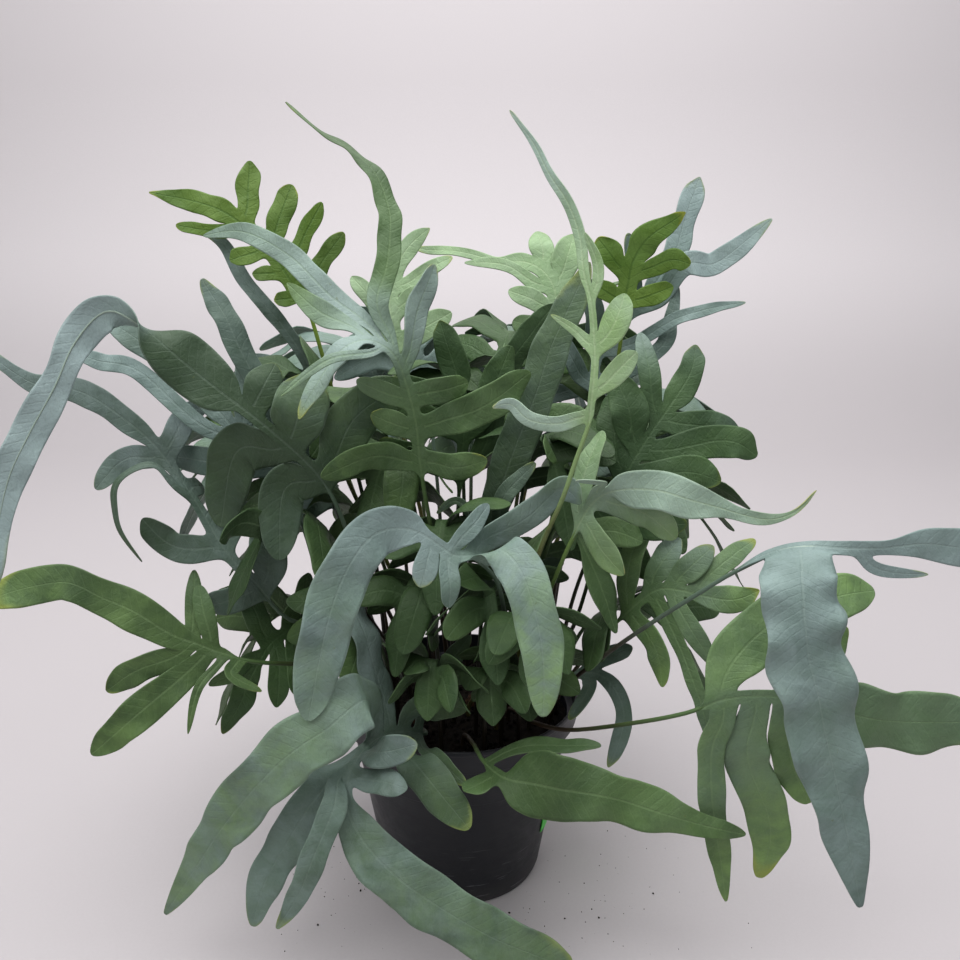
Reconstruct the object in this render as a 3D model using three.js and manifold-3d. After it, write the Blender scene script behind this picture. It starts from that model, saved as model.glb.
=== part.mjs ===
// Blue star fern (Phlebodium) in its black nursery pot, as one standing object.
// Millimetres. +Z is up, the pot rests on z = 0 about the Z axis, and the front of the plant faces -Y.
// Every frond is one thin solid: a square stalk that widens into a winged rib, lobes that leave the rib in
// turned pairs, and a long end lobe. The lobes are bent clear of everything placed before them.
import * as THREE from "three";
import { mergeVertices } from "three/addons/utils/BufferGeometryUtils.js";
import Module from "manifold-3d";

const wasm = await Module();
wasm.setup();

// ---- sizes, mm ---------------------------------------------------------------------------
const POT_HEIGHT = 100;
const POT_FOOT_RADIUS = 41;
const POT_SHOULDER_RADIUS = 55.5; // the wall where it meets the lip
const LIP_RADIUS = 60;
const LIP_DEPTH = 12;
const POT_WALL = 1.2;
const POT_FLOOR = 1.6;
const LIP_WALL = 1.5;
const DRAIN_RADIUS = 4;
const DRAIN_RING = 26;
const DRAIN_COUNT = 6;
const FOOT_CHAMFER = 1.5;
const LIP_EDGE = 0.5;
const POT_SEGMENTS = 32;
const CLEARANCE = 0.3; // between parts that sit against each other
const SOIL_TOP = 89;
const HOLE_DEPTH = 12;
const STALK_FOOT = SOIL_TOP - HOLE_DEPTH + CLEARANCE; // lower end of every stalk
const STALK_START = SOIL_TOP + 2.5; // the stalks run straight up to here
const STALK_HALF = 1.15; // half the side of a square stalk
const WING_HALF = 2.6; // half the width of the leafy rib between lobes, where a frond has no wing of its own
const BLADE_HALF = 0.4; // half the thickness of the leaf
const NODE_GAP = 0.6; // least space between two fronds, or a frond and the pot
const OWN_GAP = 0.3; // least space between two lobes of one frond
const OWN_START = 0.14; // share of a lobe, next to the rib, that isn't held to that space
const ROW_SPACING = 19; // along a rib
const STALK_ROW_SPACING = 42;
const ROW_TURN = 30; // most degrees between neighbouring rows of a rib
const FINE = 10; // samples per path point when a cross direction is carried along a curve

// ---- front elevation ---------------------------------------------------------------------
// The fronds are laid out on a front elevation drawn in perspective from an eye point: a is mm to the right
// and b mm above the sight axis, on a sheet 480 mm from the eye, and d is mm behind that sheet.
const EYE = [10, -436, 347];
const SHEET = 480;
const LOOK_DOWN = (17.4 * Math.PI) / 180;
const AWAY = [0, Math.cos(LOOK_DOWN), -Math.sin(LOOK_DOWN)];
const UPWARD = [0, Math.sin(LOOK_DOWN), Math.cos(LOOK_DOWN)];

// ---- vectors -----------------------------------------------------------------------------
const plus = (a, b) => [a[0] + b[0], a[1] + b[1], a[2] + b[2]];
const minus = (a, b) => [a[0] - b[0], a[1] - b[1], a[2] - b[2]];
const times = (a, k) => [a[0] * k, a[1] * k, a[2] * k];
const dot = (a, b) => a[0] * b[0] + a[1] * b[1] + a[2] * b[2];
const cross = (a, b) => [a[1] * b[2] - a[2] * b[1], a[2] * b[0] - a[0] * b[2], a[0] * b[1] - a[1] * b[0]];
const length = (a) => Math.sqrt(dot(a, a));
const unit = (a) => times(a, 1 / Math.max(length(a), 1e-9));
const mix = (a, b, k) => plus(times(a, 1 - k), times(b, k));
const squareTo = (a, axis) => unit(minus(a, times(axis, dot(a, axis))));

function spun(a, axis, degrees) {
  const angle = (degrees * Math.PI) / 180;
  const c = Math.cos(angle);
  const s = Math.sin(angle);
  return plus(plus(times(a, c), times(cross(axis, a), s)), times(axis, dot(axis, a) * (1 - c)));
}

// Degrees about the axis from the direction c to the direction nearest to wish.
const turnTo = (wish, c, axis) => (Math.atan2(dot(wish, cross(axis, c)), dot(wish, c)) * 180) / Math.PI;
const smooth = (u) => u * u * (3 - 2 * u);

function fromSheet([a, b, d]) {
  const reach = SHEET + d;
  const sideways = [(reach * a) / SHEET, 0, 0];
  return plus(plus(EYE, sideways), plus(times(UPWARD, (reach * b) / SHEET), times(AWAY, reach)));
}

// Value at s in a list of [s, value] steps, straight between them.
function stepped(steps, s) {
  if (s <= steps[0][0]) return steps[0][1];
  for (let k = 1; k < steps.length; k += 1) {
    const [s1, v1] = steps[k];
    const [s0, v0] = steps[k - 1];
    if (s <= s1) return v0 + ((v1 - v0) * (s - s0)) / (s1 - s0);
  }
  return steps[steps.length - 1][1];
}

// Smooth curve through points[1] .. points[n - 2]; the outer two only steer its ends.
function spline(points) {
  const last = points.length - 3;
  const part = (s) => {
    const k = Math.max(0, Math.min(Math.floor(s), last - 1));
    return [points[k], points[k + 1], points[k + 2], points[k + 3], s - k];
  };
  const at = (s) => {
    const [p0, p1, p2, p3, u] = part(s);
    return [0, 1, 2].map(
      (i) =>
        0.5 *
        (2 * p1[i] +
          (p2[i] - p0[i]) * u +
          (2 * p0[i] - 5 * p1[i] + 4 * p2[i] - p3[i]) * u * u +
          (3 * p1[i] - p0[i] - 3 * p2[i] + p3[i]) * u * u * u),
    );
  };
  const slope = (s) => {
    const [p0, p1, p2, p3, u] = part(s);
    return [0, 1, 2].map(
      (i) =>
        0.5 *
        (p2[i] - p0[i] +
          2 * (2 * p0[i] - 5 * p1[i] + 4 * p2[i] - p3[i]) * u +
          3 * (3 * p1[i] - p0[i] - 3 * p2[i] + p3[i]) * u * u),
    );
  };
  return { at, slope, last };
}

// Cross direction carried along a curve without twist, starting from first.
function carried(curve, first) {
  const list = [];
  let c = first;
  for (let k = 0; k <= curve.last * FINE; k += 1) {
    c = squareTo(c, unit(curve.slope(k / FINE)));
    list.push(c);
  }
  return (s) => {
    const k = Math.max(0, Math.min(Math.floor(s * FINE), list.length - 2));
    return squareTo(mix(list[k], list[k + 1], s * FINE - k), unit(curve.slope(s)));
  };
}

// ---- fronds seen from the front -----------------------------------------------------------
// Path points follow the rib from the soil; slots are [place on the path, width along the rib, left lobe,
// right lobe]; a lobe runs from the rib through the points of "by" to "to" and is w wide. Sharp lobes taper
// to a point, others end round.
const FRONDS = [
  // ---- west: long grey arches --------------------------------------------------------------
  { "name": "frond_west_arch", "tint": "grey", "root": [-25, 2],
    "path": [[-60, -60, -40], [-67, -25, -60], [-80, 1, -75], [-105, 25, -85], [-132, 46, -90],
      [-157, 66, -95], [-172, 80, -98], [-188, 84, -100], [-203, 68, -102], [-213, 46, -103],
      [-226, 22, -104], [-236, 0, -104], [-242, -30, -104], [-244, -58, -102]],
    "blade": 2.6, "end": 4.7, "wide": [[4.7, 18], [5.4, 25], [6.3, 19], [7, 9], [8, 15], [9, 15], [9.7, 10],
      [10.5, 15], [12, 13], [13.2, 8]],
    "roll": [[5.8, 0], [7.6, 150]],
    "slots": [[3, 14, { "to": [-109, -25, -55], "by": [[-98, 2, -70]], "w": 20 }, { "to": [-34, 49, -70],
        "by": [[-62, 32, -76]], "w": 21 }],
      [3.7, 14, { "to": [-130, -24, -58], "by": [[-122, 14, -74]], "w": 22 }, { "to": [-84, 54, -84],
        "w": 24 }],
      [4.4, 10, 0, { "to": [-109, 61, -84], "w": 15 }]] },
  { "name": "frond_west_back", "tint": "blue", "root": [-34, 14],
    "path": [[-75, -60, -26], [-90, -20, -42], [-109, 12, -52], [-124, 27, -56], [-137, 41, -58],
      [-157, 60, -60], [-174, 72, -62], [-184, 79, -62], [-193, 90, -60]],
    "blade": 1.8, "end": 4.3, "wide": [[4.3, 9], [5.5, 12], [7, 12], [8, 8], [8.7, 4]],
    "slots": [[2.2, 12, { "to": [-140, -20, -45], "w": 14 }, { "to": [-86, 40, -45], "w": 13 }],
      [2.9, 12, { "to": [-158, 12, -50], "w": 13 }, { "to": [-150, 94, -48], "by": [[-128, 68, -50]],
        "w": 11 }],
      [3.8, 9, { "to": [-203, 78, -62], "by": [[-165, 60, -62], [-186, 68, -64]], "w": 8, "sharp": 1 },
        { "to": [-118, 66, -46], "w": 9 }]] },
  { "name": "frond_west_mid", "tint": "grey", "root": [-40, -6],
    "path": [[-64, -78, -14], [-95, -70, -40], [-112, -52, -50], [-127, -36, -55], [-141, -13, -58],
      [-154, 6, -60], [-165, 20, -62], [-185, 36, -64], [-202, 45, -66], [-223, 48, -68], [-240, 59, -70],
      [-247, 64, -70]],
    "blade": 2.4, "end": 7.1, "wide": [[7.1, 9], [8, 11], [9.5, 11], [10.5, 6], [11.5, 5]],
    "slots": [[2.9, 12, { "to": [-140, -64, -46], "w": 13 }, { "to": [-103, -12, -52], "w": 17 }],
      [4.2, 12, { "to": [-169, -19, -60], "by": [[-154, -33, -58]], "w": 13 }, { "to": [-122, 22, -48],
        "w": 13 }],
      [5.4, 9, { "to": [-168, -41, -70], "by": [[-163, 8, -70], [-182, -2, -76], [-182, -22, -76]], "w": 4,
        "sharp": 1 }, { "to": [-138, -3, -46], "w": 9 }],
      [6.5, 10, { "to": [-196, 4, -64], "by": [[-178, 15, -62]], "w": 11 }, { "to": [-137, 38, -60],
        "by": [[-148, 32, -62]], "w": 11 }]] },
  { "name": "frond_west_strap", "tint": "grey", "root": [-26, 24],
    "path": [[-70, -20, 0], [-78, 30, -14], [-85, 56, -20], [-97, 75, -24], [-107, 87, -28],
      [-118, 100, -30], [-128, 118, -32], [-139, 124, -34]],
    "blade": 1.6, "end": 3.2, "wide": [[3.2, 6], [4.5, 7], [6, 7], [7.2, 6], [7.7, 3]],
    "slots": [[2.1, 11, { "to": [-112, 28, -20], "w": 12 }, { "to": [-58, 62, -10], "w": 11 }],
      [2.8, 8, { "to": [-116, 62, -24], "w": 9 }, 0]] },
  // ---- west: young yellow-green frond on a dark stalk --------------------------------------
  { "name": "frond_young_west", "tint": "young", "root": [-20, 32],
    "path": [[-68, 5, 0], [-73, 40, -15], [-79, 63, -22], [-86, 86, -28], [-90, 92, -30], [-97, 103, -32],
      [-105, 115, -34], [-117, 126, -36], [-128, 134, -38], [-145, 140, -40], [-166, 144, -42]],
    "blade": 4.4, "end": 8.9, "wide": [[8.9, 11], [9.6, 12], [10.3, 9], [10.8, 4]],
    "wing": 4,
    "slots": [[5.1, 7, { "to": [-103, 90, -34], "w": 7 }, { "to": [-68, 124, -26], "by": [[-79, 109, -28]],
        "w": 9 }],
      [6.2, 7, { "to": [-114, 103, -36], "w": 7 }, { "to": [-79, 139, -28], "by": [[-88, 122, -30]],
        "w": 8 }],
      [7.2, 8, { "to": [-126, 118, -38], "w": 9 }, { "to": [-94, 148, -30], "by": [[-100, 132, -32]],
        "w": 11 }],
      [8.3, 8, { "to": [-151, 135, -42], "by": [[-138, 129, -40]], "w": 6 }, { "to": [-115, 160, -32],
        "by": [[-116, 145, -34]], "w": 11 }]] },
  // ---- south-west: low fronds near the ground ----------------------------------------------
  { "name": "frond_south_west", "tint": "green", "root": [-38, -14],
    "path": [[-70, -94, -20], [-92, -92, -40], [-112, -91, -55], [-128, -87, -60], [-141, -82, -62],
      [-155, -77, -64], [-172, -66, -66], [-189, -59, -68], [-200, -53, -68], [-210, -51, -68],
      [-228, -54, -68], [-240, -58, -68], [-247, -62, -68]],
    "blade": 3.4, "end": 5.6, "wide": [[5.6, 11], [7, 18], [8.5, 14], [10, 16], [11.5, 16], [12.5, 9]],
    "slots": [[3.5, 7, { "to": [-109, -106, -66], "by": [[-125, -98, -68]], "w": 7, "sharp": 1 }, 0],
      [4, 5, { "to": [-146, -127, -72], "by": [[-141, -104, -72]], "w": 4, "sharp": 1 }, 0],
      [4.6, 9, { "to": [-195, -138, -66], "by": [[-170, -116, -66]], "w": 15 }, { "to": [-141, -52, -60],
        "w": 9 }],
      [5.3, 9, { "to": [-194, -97, -64], "by": [[-174, -89, -64]], "w": 12 }, { "to": [-152, -45, -58],
        "w": 7 }]] },
  { "name": "frond_dark_west", "tint": "dark", "root": [-44, 8],
    "path": [[-80, -62, -14], [-92, -73, -25], [-103, -80, -32], [-109, -88, -35], [-115, -100, -37],
      [-120, -113, -38], [-129, -127, -38]],
    "blade": 1.6, "end": 4.6, "wide": [[4.6, 9], [5.6, 14], [6.6, 9]],
    "slots": [[2.2, 10, { "to": [-92, -108, -36], "w": 11 }, { "to": [-86, -46, -34], "w": 13 }],
      [3.2, 10, { "to": [-100, -114, -42], "w": 10 }, { "to": [-118, -54, -46], "w": 12 }],
      [4.1, 8, 0, { "to": [-134, -106, -48], "w": 9 }]] },
  { "name": "frond_south_west_low", "tint": "grey", "root": [-20, -28],
    "path": [[-27, -127, -30], [-42, -126, -50], [-55, -132, -64], [-64, -144, -75], [-67, -160, -82],
      [-60, -178, -84], [-42, -198, -84], [-20, -214, -82], [5, -228, -78], [33, -240, -74],
      [48, -248, -72]],
    "blade": 1.1, "end": 5.4, "wide": [[5.4, 12], [6.5, 22], [8, 23], [9.5, 21], [10.5, 12]],
    "slots": [[1.35, 6, { "to": [-5, -155, -70], "by": [[-20, -141, -60]], "w": 7, "face": 1 },
        { "to": [-1, -81, -52], "by": [[-17, -100, -46]], "w": 9, "face": 1 }],
      [1.8, 8, { "to": [-5, -175, -78], "by": [[-30, -144, -70], [-17, -160, -76]], "w": 17, "face": 1 },
        { "to": [-6, -114, -54], "by": [[-26, -113, -54]], "w": 14, "face": 1 }],
      [2.25, 8, 0, { "to": [-52, -49, -72], "by": [[-46, -85, -68]], "w": 15 }],
      [2.85, 11, 0, { "to": [-158, -218, -52], "by": [[-57, -110, -86], [-76, -124, -96], [-101, -142, -95],
        [-126, -170, -82], [-141, -192, -68]], "w": 24, "face": 1, "sharp": 1 }],
      [3.4, 10, { "to": [-31, -132, -84], "by": [[-48, -136, -84]], "w": 14, "face": 1 },
        { "to": [-114, -224, -62], "by": [[-80, -156, -80], [-97, -182, -74], [-108, -202, -68]], "w": 17,
        "face": 1 }],
      [4.25, 8, { "to": [-36, -155, -88], "w": 12 }, { "to": [-102, -225, -80], "by": [[-73, -164, -90],
        [-83, -188, -90], [-91, -208, -86]], "w": 11, "face": 1, "sharp": 1 }]] },
  // ---- middle: the crown -------------------------------------------------------------------
  { "name": "frond_crown", "tint": "green", "root": [-6, 6],
    "path": [[-20, -60, -35], [-24, -28, -55], [-28, -5, -66], [-30, 9, -72], [-32, 28, -80],
      [-36, 45, -86], [-42, 61, -92], [-50, 68, -96], [-59, 70, -100], [-69, 65, -104], [-78, 55, -106],
      [-85, 42, -108], [-90, 30, -108]],
    "blade": 3.2, "end": 9.1, "wide": [[9.1, 8], [10, 10], [11.5, 9], [12.5, 5]],
    "slots": [[4, 10, { "to": [-80, 1, -84], "by": [[-54, 12, -82]], "w": 13 }, { "to": [4, 10, -78],
        "by": [[-12, 6, -78]], "w": 13 }],
      [4.9, 10, { "to": [-52, 38, -84], "w": 11 }, { "to": [26, 54, -78], "by": [[0, 36, -80]], "w": 16 }],
      [5.8, 9, { "to": [-62, 50, -86], "w": 9 }, { "to": [-5, 48, -84], "w": 12 }],
      [6.7, 7, 0, { "to": [-23, 108, -84], "by": [[-31, 85, -88]], "w": 11 }],
      [7.35, 5, 0, { "to": [-98, 190, -70], "by": [[-52, 88, -94], [-47, 105, -90], [-45, 123, -86],
        [-46, 138, -82], [-53, 155, -78], [-66, 166, -74], [-83, 176, -72]], "w": 10, "twist": 60,
        "face": 1, "sharp": 1 }],
      [8, 5, { "to": [-109, 73, -104], "by": [[-80, 76, -106]], "w": 4, "sharp": 1 },
        { "to": [-139, 122, -76], "by": [[-75, 92, -90], [-95, 112, -84], [-118, 124, -80]], "w": 10,
        "face": 1, "sharp": 1 }],
      [8.7, 6, 0, { "to": [-97, 99, -92], "by": [[-80, 84, -96]], "w": 10, "face": 1, "sharp": 1 }]] },
  { "name": "frond_front", "tint": "blue", "root": [12, -14],
    "path": [[12, -85, -36], [10, -55, -66], [-1, -39, -84], [-12, -38, -90], [-20, -33, -92],
      [-29, -27, -94], [-40, -24, -97], [-54, -28, -101], [-67, -46, -104], [-76, -70, -104],
      [-81, -94, -102], [-86, -121, -98]],
    "blade": 2.4, "end": 6.3, "wide": [[6.3, 13], [7.5, 19], [9, 21], [10.5, 21], [11.5, 16]],
    "slots": [[3.1, 11, { "to": [31.5, -119, -99], "by": [[8, -34, -93], [17, -40, -99], [24, -54, -103],
        [30, -77, -105], [32, -100, -103]], "w": 18, "face": 1 }, { "to": [51, -12, -80],
        "by": [[22, -20, -80], [40, -5, -80]], "w": 14 }],
      [4.3, 7, { "to": [-16, -64, -92], "w": 9 }, { "to": [4, -12, -80], "w": 8 }],
      [5.3, 8, { "to": [-30, -54, -94], "w": 11 }, 0]] },
  { "name": "frond_dark_centre", "tint": "dark", "root": [-2, 22],
    "path": [[-12, -40, -10], [-10, 0, -30], [-8, 25, -42], [-9, 40, -48], [-12, 55, -52], [-17, 70, -54],
      [-20, 80, -54]],
    "blade": 1.6, "end": 4.5, "wide": [[4.5, 12], [5.6, 15], [6.6, 8]],
    "slots": [[2.2, 12, { "to": [-52, 18, -34], "w": 13 }, { "to": [38, 88, -40], "by": [[12, 52, -42],
        [26, 74, -42]], "w": 13 }],
      [3, 11, { "to": [-48, 46, -44], "w": 12 }, { "to": [10, 70, -50], "by": [[4, 50, -48]], "w": 14 }],
      [4, 10, { "to": [-34, 66, -52], "w": 11 }, 0]] },
  { "name": "frond_grey_centre", "tint": "grey", "root": [14, 16],
    "path": [[5, -80, -10], [3, -50, -28], [4, -27, -42], [10, -5, -52], [19, 20, -60], [28, 43, -64],
      [35, 65, -66], [43, 83, -66], [50, 98, -64], [55, 109, -62]],
    "blade": 1.4, "end": 3, "wide": [[3, 10], [4.5, 17], [6.5, 17], [8.5, 13], [9.5, 6]],
    "face": 1,
    "slots": [[1.8, 11, { "to": [-36, -52, -30], "w": 13 }, { "to": [42, -40, -34], "w": 13 }],
      [2.6, 9, { "to": [-22, -17, -52], "by": [[-4, -19, -52], [-12, -10, -54]], "w": 4 },
        { "to": [28, 9, -64], "by": [[11, -10, -62]], "w": 8 }]] },
  // ---- middle, behind: pale light-green fronds ---------------------------------------------
  { "name": "frond_pale_back", "tint": "pale", "root": [-8, 44],
    "path": [[-40, 30, 15], [-42, 60, 12], [-44, 80, 10], [-45, 90, 10], [-42, 105, 10], [-37, 115, 10],
      [-30, 122, 10], [-25, 126, 8]],
    "blade": 1.8, "end": 5, "wide": [[5, 9], [6, 11], [7, 8], [7.7, 4]],
    "wing": 4,
    "slots": [[2.4, 10, { "to": [-66, 84, 4], "w": 11 }, { "to": [-14, 84, 6], "w": 13 }],
      [3.5, 9, { "to": [-62, 104, 6], "w": 9 }, { "to": [-30, 100, 4], "w": 10 }],
      [4.5, 8, { "to": [-43, 130, 8], "w": 5 }, { "to": [-14, 112, 4], "w": 8 }]] },
  { "name": "frond_pale_top", "tint": "pale", "root": [19, 44],
    "path": [[30, 30, 20], [35, 65, 20], [38, 90, 20], [33, 103, 20], [23, 109, 20], [10, 109, 20],
      [0, 112, 20], [-12, 114, 20], [-25, 115, 20], [-34, 117, 20]],
    "blade": 2.2, "end": 5, "wide": [[5, 11], [5.8, 7], [7, 5], [8.5, 6], [9.6, 3]],
    "wing": 4.5,
    "slots": [[2.8, 10, { "to": [14, 95, 14], "w": 11 }, { "to": [50, 106, 24], "w": 12 }],
      [3.6, 10, { "to": [-9, 103, 12], "by": [[12, 105, 14]], "w": 7, "sharp": 1 }, { "to": [37, 125, 24],
        "w": 16 }],
      [4.4, 9, 0, { "to": [22, 124, 24], "w": 14 }]] },
  // ---- tall narrow frond on an olive stalk -------------------------------------------------
  { "name": "frond_tall", "tint": "pale", "root": [4, -9],
    "path": [[4, -100, -8], [12, -80, -35], [23, -55, -58], [32, -30, -76], [41, -10, -88], [48, 10, -96],
      [54, 27, -102], [56, 42, -106], [57.5, 58, -108], [57, 74, -108], [55.5, 90, -108], [52, 104, -106],
      [50, 121, -104], [44, 139, -102], [34, 154, -100], [27, 168, -98], [20, 178, -96], [15, 185, -95]],
    "blade": 6.8, "end": 11.6, "wide": [[11.6, 4], [12.5, 5], [14, 5], [15.5, 3.5], [17.4, 1.6]],
    "wing": 1.5,
    "slots": [[7.3, 5, { "to": [6, 36, -92], "by": [[40, 28, -98], [24, 30, -94], [16, 38, -92]], "w": 7,
        "sharp": 1 }, 0],
      [8.2, 6, 0, { "to": [72.5, 69, -112], "by": [[66, 58, -110]], "w": 9 }],
      [9.6, 8, { "to": [40, 88, -106], "by": [[50, 77, -106]], "w": 4, "sharp": 1 }, { "to": [69, 95, -112],
        "by": [[66, 79, -112]], "w": 12 }],
      [11.2, 5, 0, { "to": [52, 124, -110], "by": [[59, 107, -110]], "w": 5, "sharp": 1 }]] },
  // ---- east: young frond, blue straps ------------------------------------------------------
  { "name": "frond_young_east", "tint": "young", "root": [30, 36],
    "path": [[60, 20, 10], [68, 55, 0], [71, 75, -8], [72, 87, -12], [74, 98, -15], [76, 108, -18],
      [80, 116, -20], [85, 122, -22], [94, 128, -24], [103, 134, -26]],
    "blade": 3.6, "end": 6.9, "wide": [[6.9, 13], [7.8, 14], [8.8, 10], [9.6, 5]],
    "wing": 4.6,
    "slots": [[4.3, 9, { "to": [58, 100, -16], "w": 10 }, { "to": [97, 97, -18], "w": 10 }],
      [5.7, 9, { "to": [61, 123, -20], "w": 12 }, { "to": [104, 115, -22], "by": [[93, 114, -20]],
        "w": 10 }]] },
  { "name": "frond_east_blue", "tint": "blue", "root": [38, 22],
    "path": [[55, 0, 12], [60, 40, 12], [63, 60, 12], [70, 71, 12], [84, 85, 12], [92, 95, 12],
      [103, 111, 12], [107, 124, 12], [112, 138, 12], [116, 148, 12]],
    "blade": 1.9, "end": 5.8, "wide": [[5.8, 9], [7, 12], [9, 12], [9.7, 8]],
    "face": 1,
    "slots": [[2.3, 9, { "to": [42, 74, -8], "w": 11 }, { "to": [101, 98, -10], "by": [[89, 66, -10],
        [96, 82, -10]], "w": 8, "sharp": 1 }],
      [3.5, 9, { "to": [60, 100, -10], "w": 11 }, { "to": [138, 86, -8], "by": [[106, 80, -8]], "w": 7,
        "sharp": 1 }],
      [5.2, 10, { "to": [80, 122, -8], "w": 8 }, { "to": [152, 127, -4], "by": [[107, 105, -2],
        [122, 105, -2], [137, 115, -4]], "w": 12, "face": 1, "sharp": 1 }]] },
  { "name": "frond_east", "tint": "dark", "root": [40, -4],
    "path": [[48, -70, -20], [60, -30, -40], [72, 0, -48], [80, 15, -50], [90, 30, -50], [99, 43, -48],
      [106, 55, -46], [108, 68, -44]],
    "blade": 1.7, "end": 5.6, "wide": [[5.6, 11], [6.4, 14], [7.4, 10]],
    "slots": [[2.3, 11, { "to": [48, 12, -36], "w": 14 }, { "to": [104, -22, -58], "w": 14 }],
      [3.2, 11, { "to": [70, 44, -44], "w": 15 }, { "to": [121, -1, -56], "by": [[105, 4, -56]], "w": 15 }],
      [4.1, 11, { "to": [87, 54, -48], "w": 17 }, { "to": [139, 12, -52], "by": [[122, 20, -54]],
        "w": 15 }],
      [5.1, 10, { "to": [98, 74, -44], "w": 10 }, { "to": [128, 46, -46], "w": 14 }]] },
  { "name": "frond_east_light", "tint": "light", "root": [18, -22],
    "path": [[20, -90, -20], [35, -55, -50], [48, -25, -70], [58, -10, -78], [70, -5, -84], [88, -5, -88],
      [105, -10, -90], [120, -14, -90], [130, -17, -90], [145, -20, -90], [158, -16, -88], [168, -5, -86]],
    "blade": 2.7, "end": 4.7, "wide": [[4.7, 12], [5.7, 17], [7, 16], [8, 8], [9, 5], [9.8, 6], [10.6, 2.4],
      [11.6, 1.6]],
    "face": 1,
    "slots": [[3.3, 9, { "to": [66, 24, -72], "w": 12 }, { "to": [72, -48, -80], "w": 13 }],
      [4.2, 10, { "to": [43, -3, -92], "by": [[58, -1, -92]], "w": 4 }, { "to": [97, -33, -84],
        "by": [[82, -19, -84]], "w": 15 }]] },
  { "name": "frond_east_low", "tint": "green", "root": [45, -16],
    "path": [[55, -85, -20], [75, -65, -45], [88, -55, -55], [100, -55, -62], [112, -58, -66],
      [127, -60, -70], [140, -55, -72]],
    "blade": 1.5, "end": 5.1, "wide": [[5.1, 10], [5.8, 13], [6.6, 8]],
    "slots": [[2, 10, { "to": [80, -20, -48], "w": 13 }, { "to": [91, -104, -58], "by": [[88, -84, -58]],
        "w": 12 }],
      [2.9, 9, { "to": [102, -30, -58], "w": 13 }, { "to": [116, -132, -64], "by": [[108, -104, -66]],
        "w": 7 }],
      [3.8, 9, { "to": [120, -36, -64], "w": 12 }, { "to": [118, -94, -66], "w": 9 }],
      [4.7, 9, { "to": [142, -28, -68], "w": 9 }, { "to": [134, -81, -68], "w": 11 }]] },
  // ---- south-east: big near fronds ---------------------------------------------------------
  { "name": "frond_south_east", "tint": "green", "root": [24, -12],
    "path": [[26, -121, -28], [45, -125, -44], [80, -121, -80], [105, -116, -93], [121, -110, -96],
      [140, -108, -97], [160, -110, -97], [185, -117, -96], [210, -121, -94], [240, -121, -92],
      [254, -121, -90]],
    "blade": 4.1, "end": 7.2, "wide": [[7.2, 18], [8, 25], [9.5, 26], [10.5, 16]],
    "slots": [[5, 13, { "to": [198, -55, -80], "by": [[132, -84, -94], [155, -66, -90], [180, -58, -86]],
        "w": 22 }, { "to": [123, -211, -72], "by": [[116, -134, -92], [116, -160, -86], [120, -188, -78]],
        "w": 11, "sharp": 1 }],
      [5.9, 13, 0, { "to": [142, -207, -76], "by": [[134, -134, -94], [137, -150, -90], [146, -172, -85],
        [147, -190, -80]], "w": 18 }],
      [6.7, 12, { "to": [194, -88, -94], "by": [[179, -95, -96]], "w": 13 }, { "to": [166, -166, -84],
        "by": [[156, -140, -90]], "w": 16 }]] },
  { "name": "frond_near_east", "tint": "blue", "root": [34, -21],
    "path": [[40, -105, -30], [73, -80, -68], [112, -55, -94], [141, -38, -108], [160, -33, -116],
      [180, -34, -118], [200, -34, -118], [222, -32, -118], [240, -34, -116], [257, -35, -112]],
    "blade": 3.4, "end": 6.6, "wide": [[6.6, 6], [7.4, 6], [8.6, 16], [9.4, 15]],
    "slots": [[5, 25, 0, { "to": [191, -216, -108], "by": [[161, -46, -129], [162, -66, -135],
        [165, -90, -134], [171, -118, -130], [178, -150, -124], [184, -180, -117]], "w": 29, "face": 1,
        "sharp": 1 }],
      [6.6, 6, 0, { "to": [224, -47, -114], "by": [[203, -46, -116]], "w": 5, "sharp": 1 }]] },
  { "name": "frond_south", "tint": "green", "root": [2, -36],
    "path": [[-4, -131, -45], [2, -141, -62], [12, -149, -76], [27, -152, -83], [43, -155, -87],
      [60, -158, -90], [77, -162, -90], [95, -168, -90], [112, -173, -90], [133, -177, -87]],
    "blade": 1.9, "end": 3, "wide": [[3, 18], [3.6, 25], [4.2, 29], [5, 26], [6, 22], [7, 19], [8, 16],
      [9.2, 8]],
    "face": 1,
    "slots": [[2.1, 6, { "to": [61, -133, -66], "by": [[22, -133, -62], [42, -132, -66]], "w": 10 }, 0],
      [2.7, 9, 0, { "to": [-8, -157, -80], "by": [[-1, -153, -76]], "w": 14 }]] },
  { "name": "frond_east_droop", "tint": "grey", "root": [42, -22],
    "path": [[33, -104, -12], [42, -100, -20], [55, -96, -22], [66, -102, -28], [72, -116, -32],
      [70, -130, -34], [64, -144, -36]],
    "blade": 2, "end": 3.6, "wide": [[3.6, 7], [4.5, 8], [6, 8], [6.7, 6]],
    "slots": [[3, 8, { "to": [78, -92, -30], "w": 9 }, { "to": [44, -120, -30], "by": [[54, -106, -30]],
        "w": 7 }]] },
];

// Table records hold sheet points; this gives them as world points.
function onSheet(record) {
  const lobe = (l) => l && { ...l, to: fromSheet(l.to), by: (l.by || []).map(fromSheet) };
  return {
    ...record,
    path: record.path.map(fromSheet),
    slots: record.slots.map(([s, wide, left, right]) => [s, wide, lobe(left), lobe(right)]),
  };
}

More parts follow.
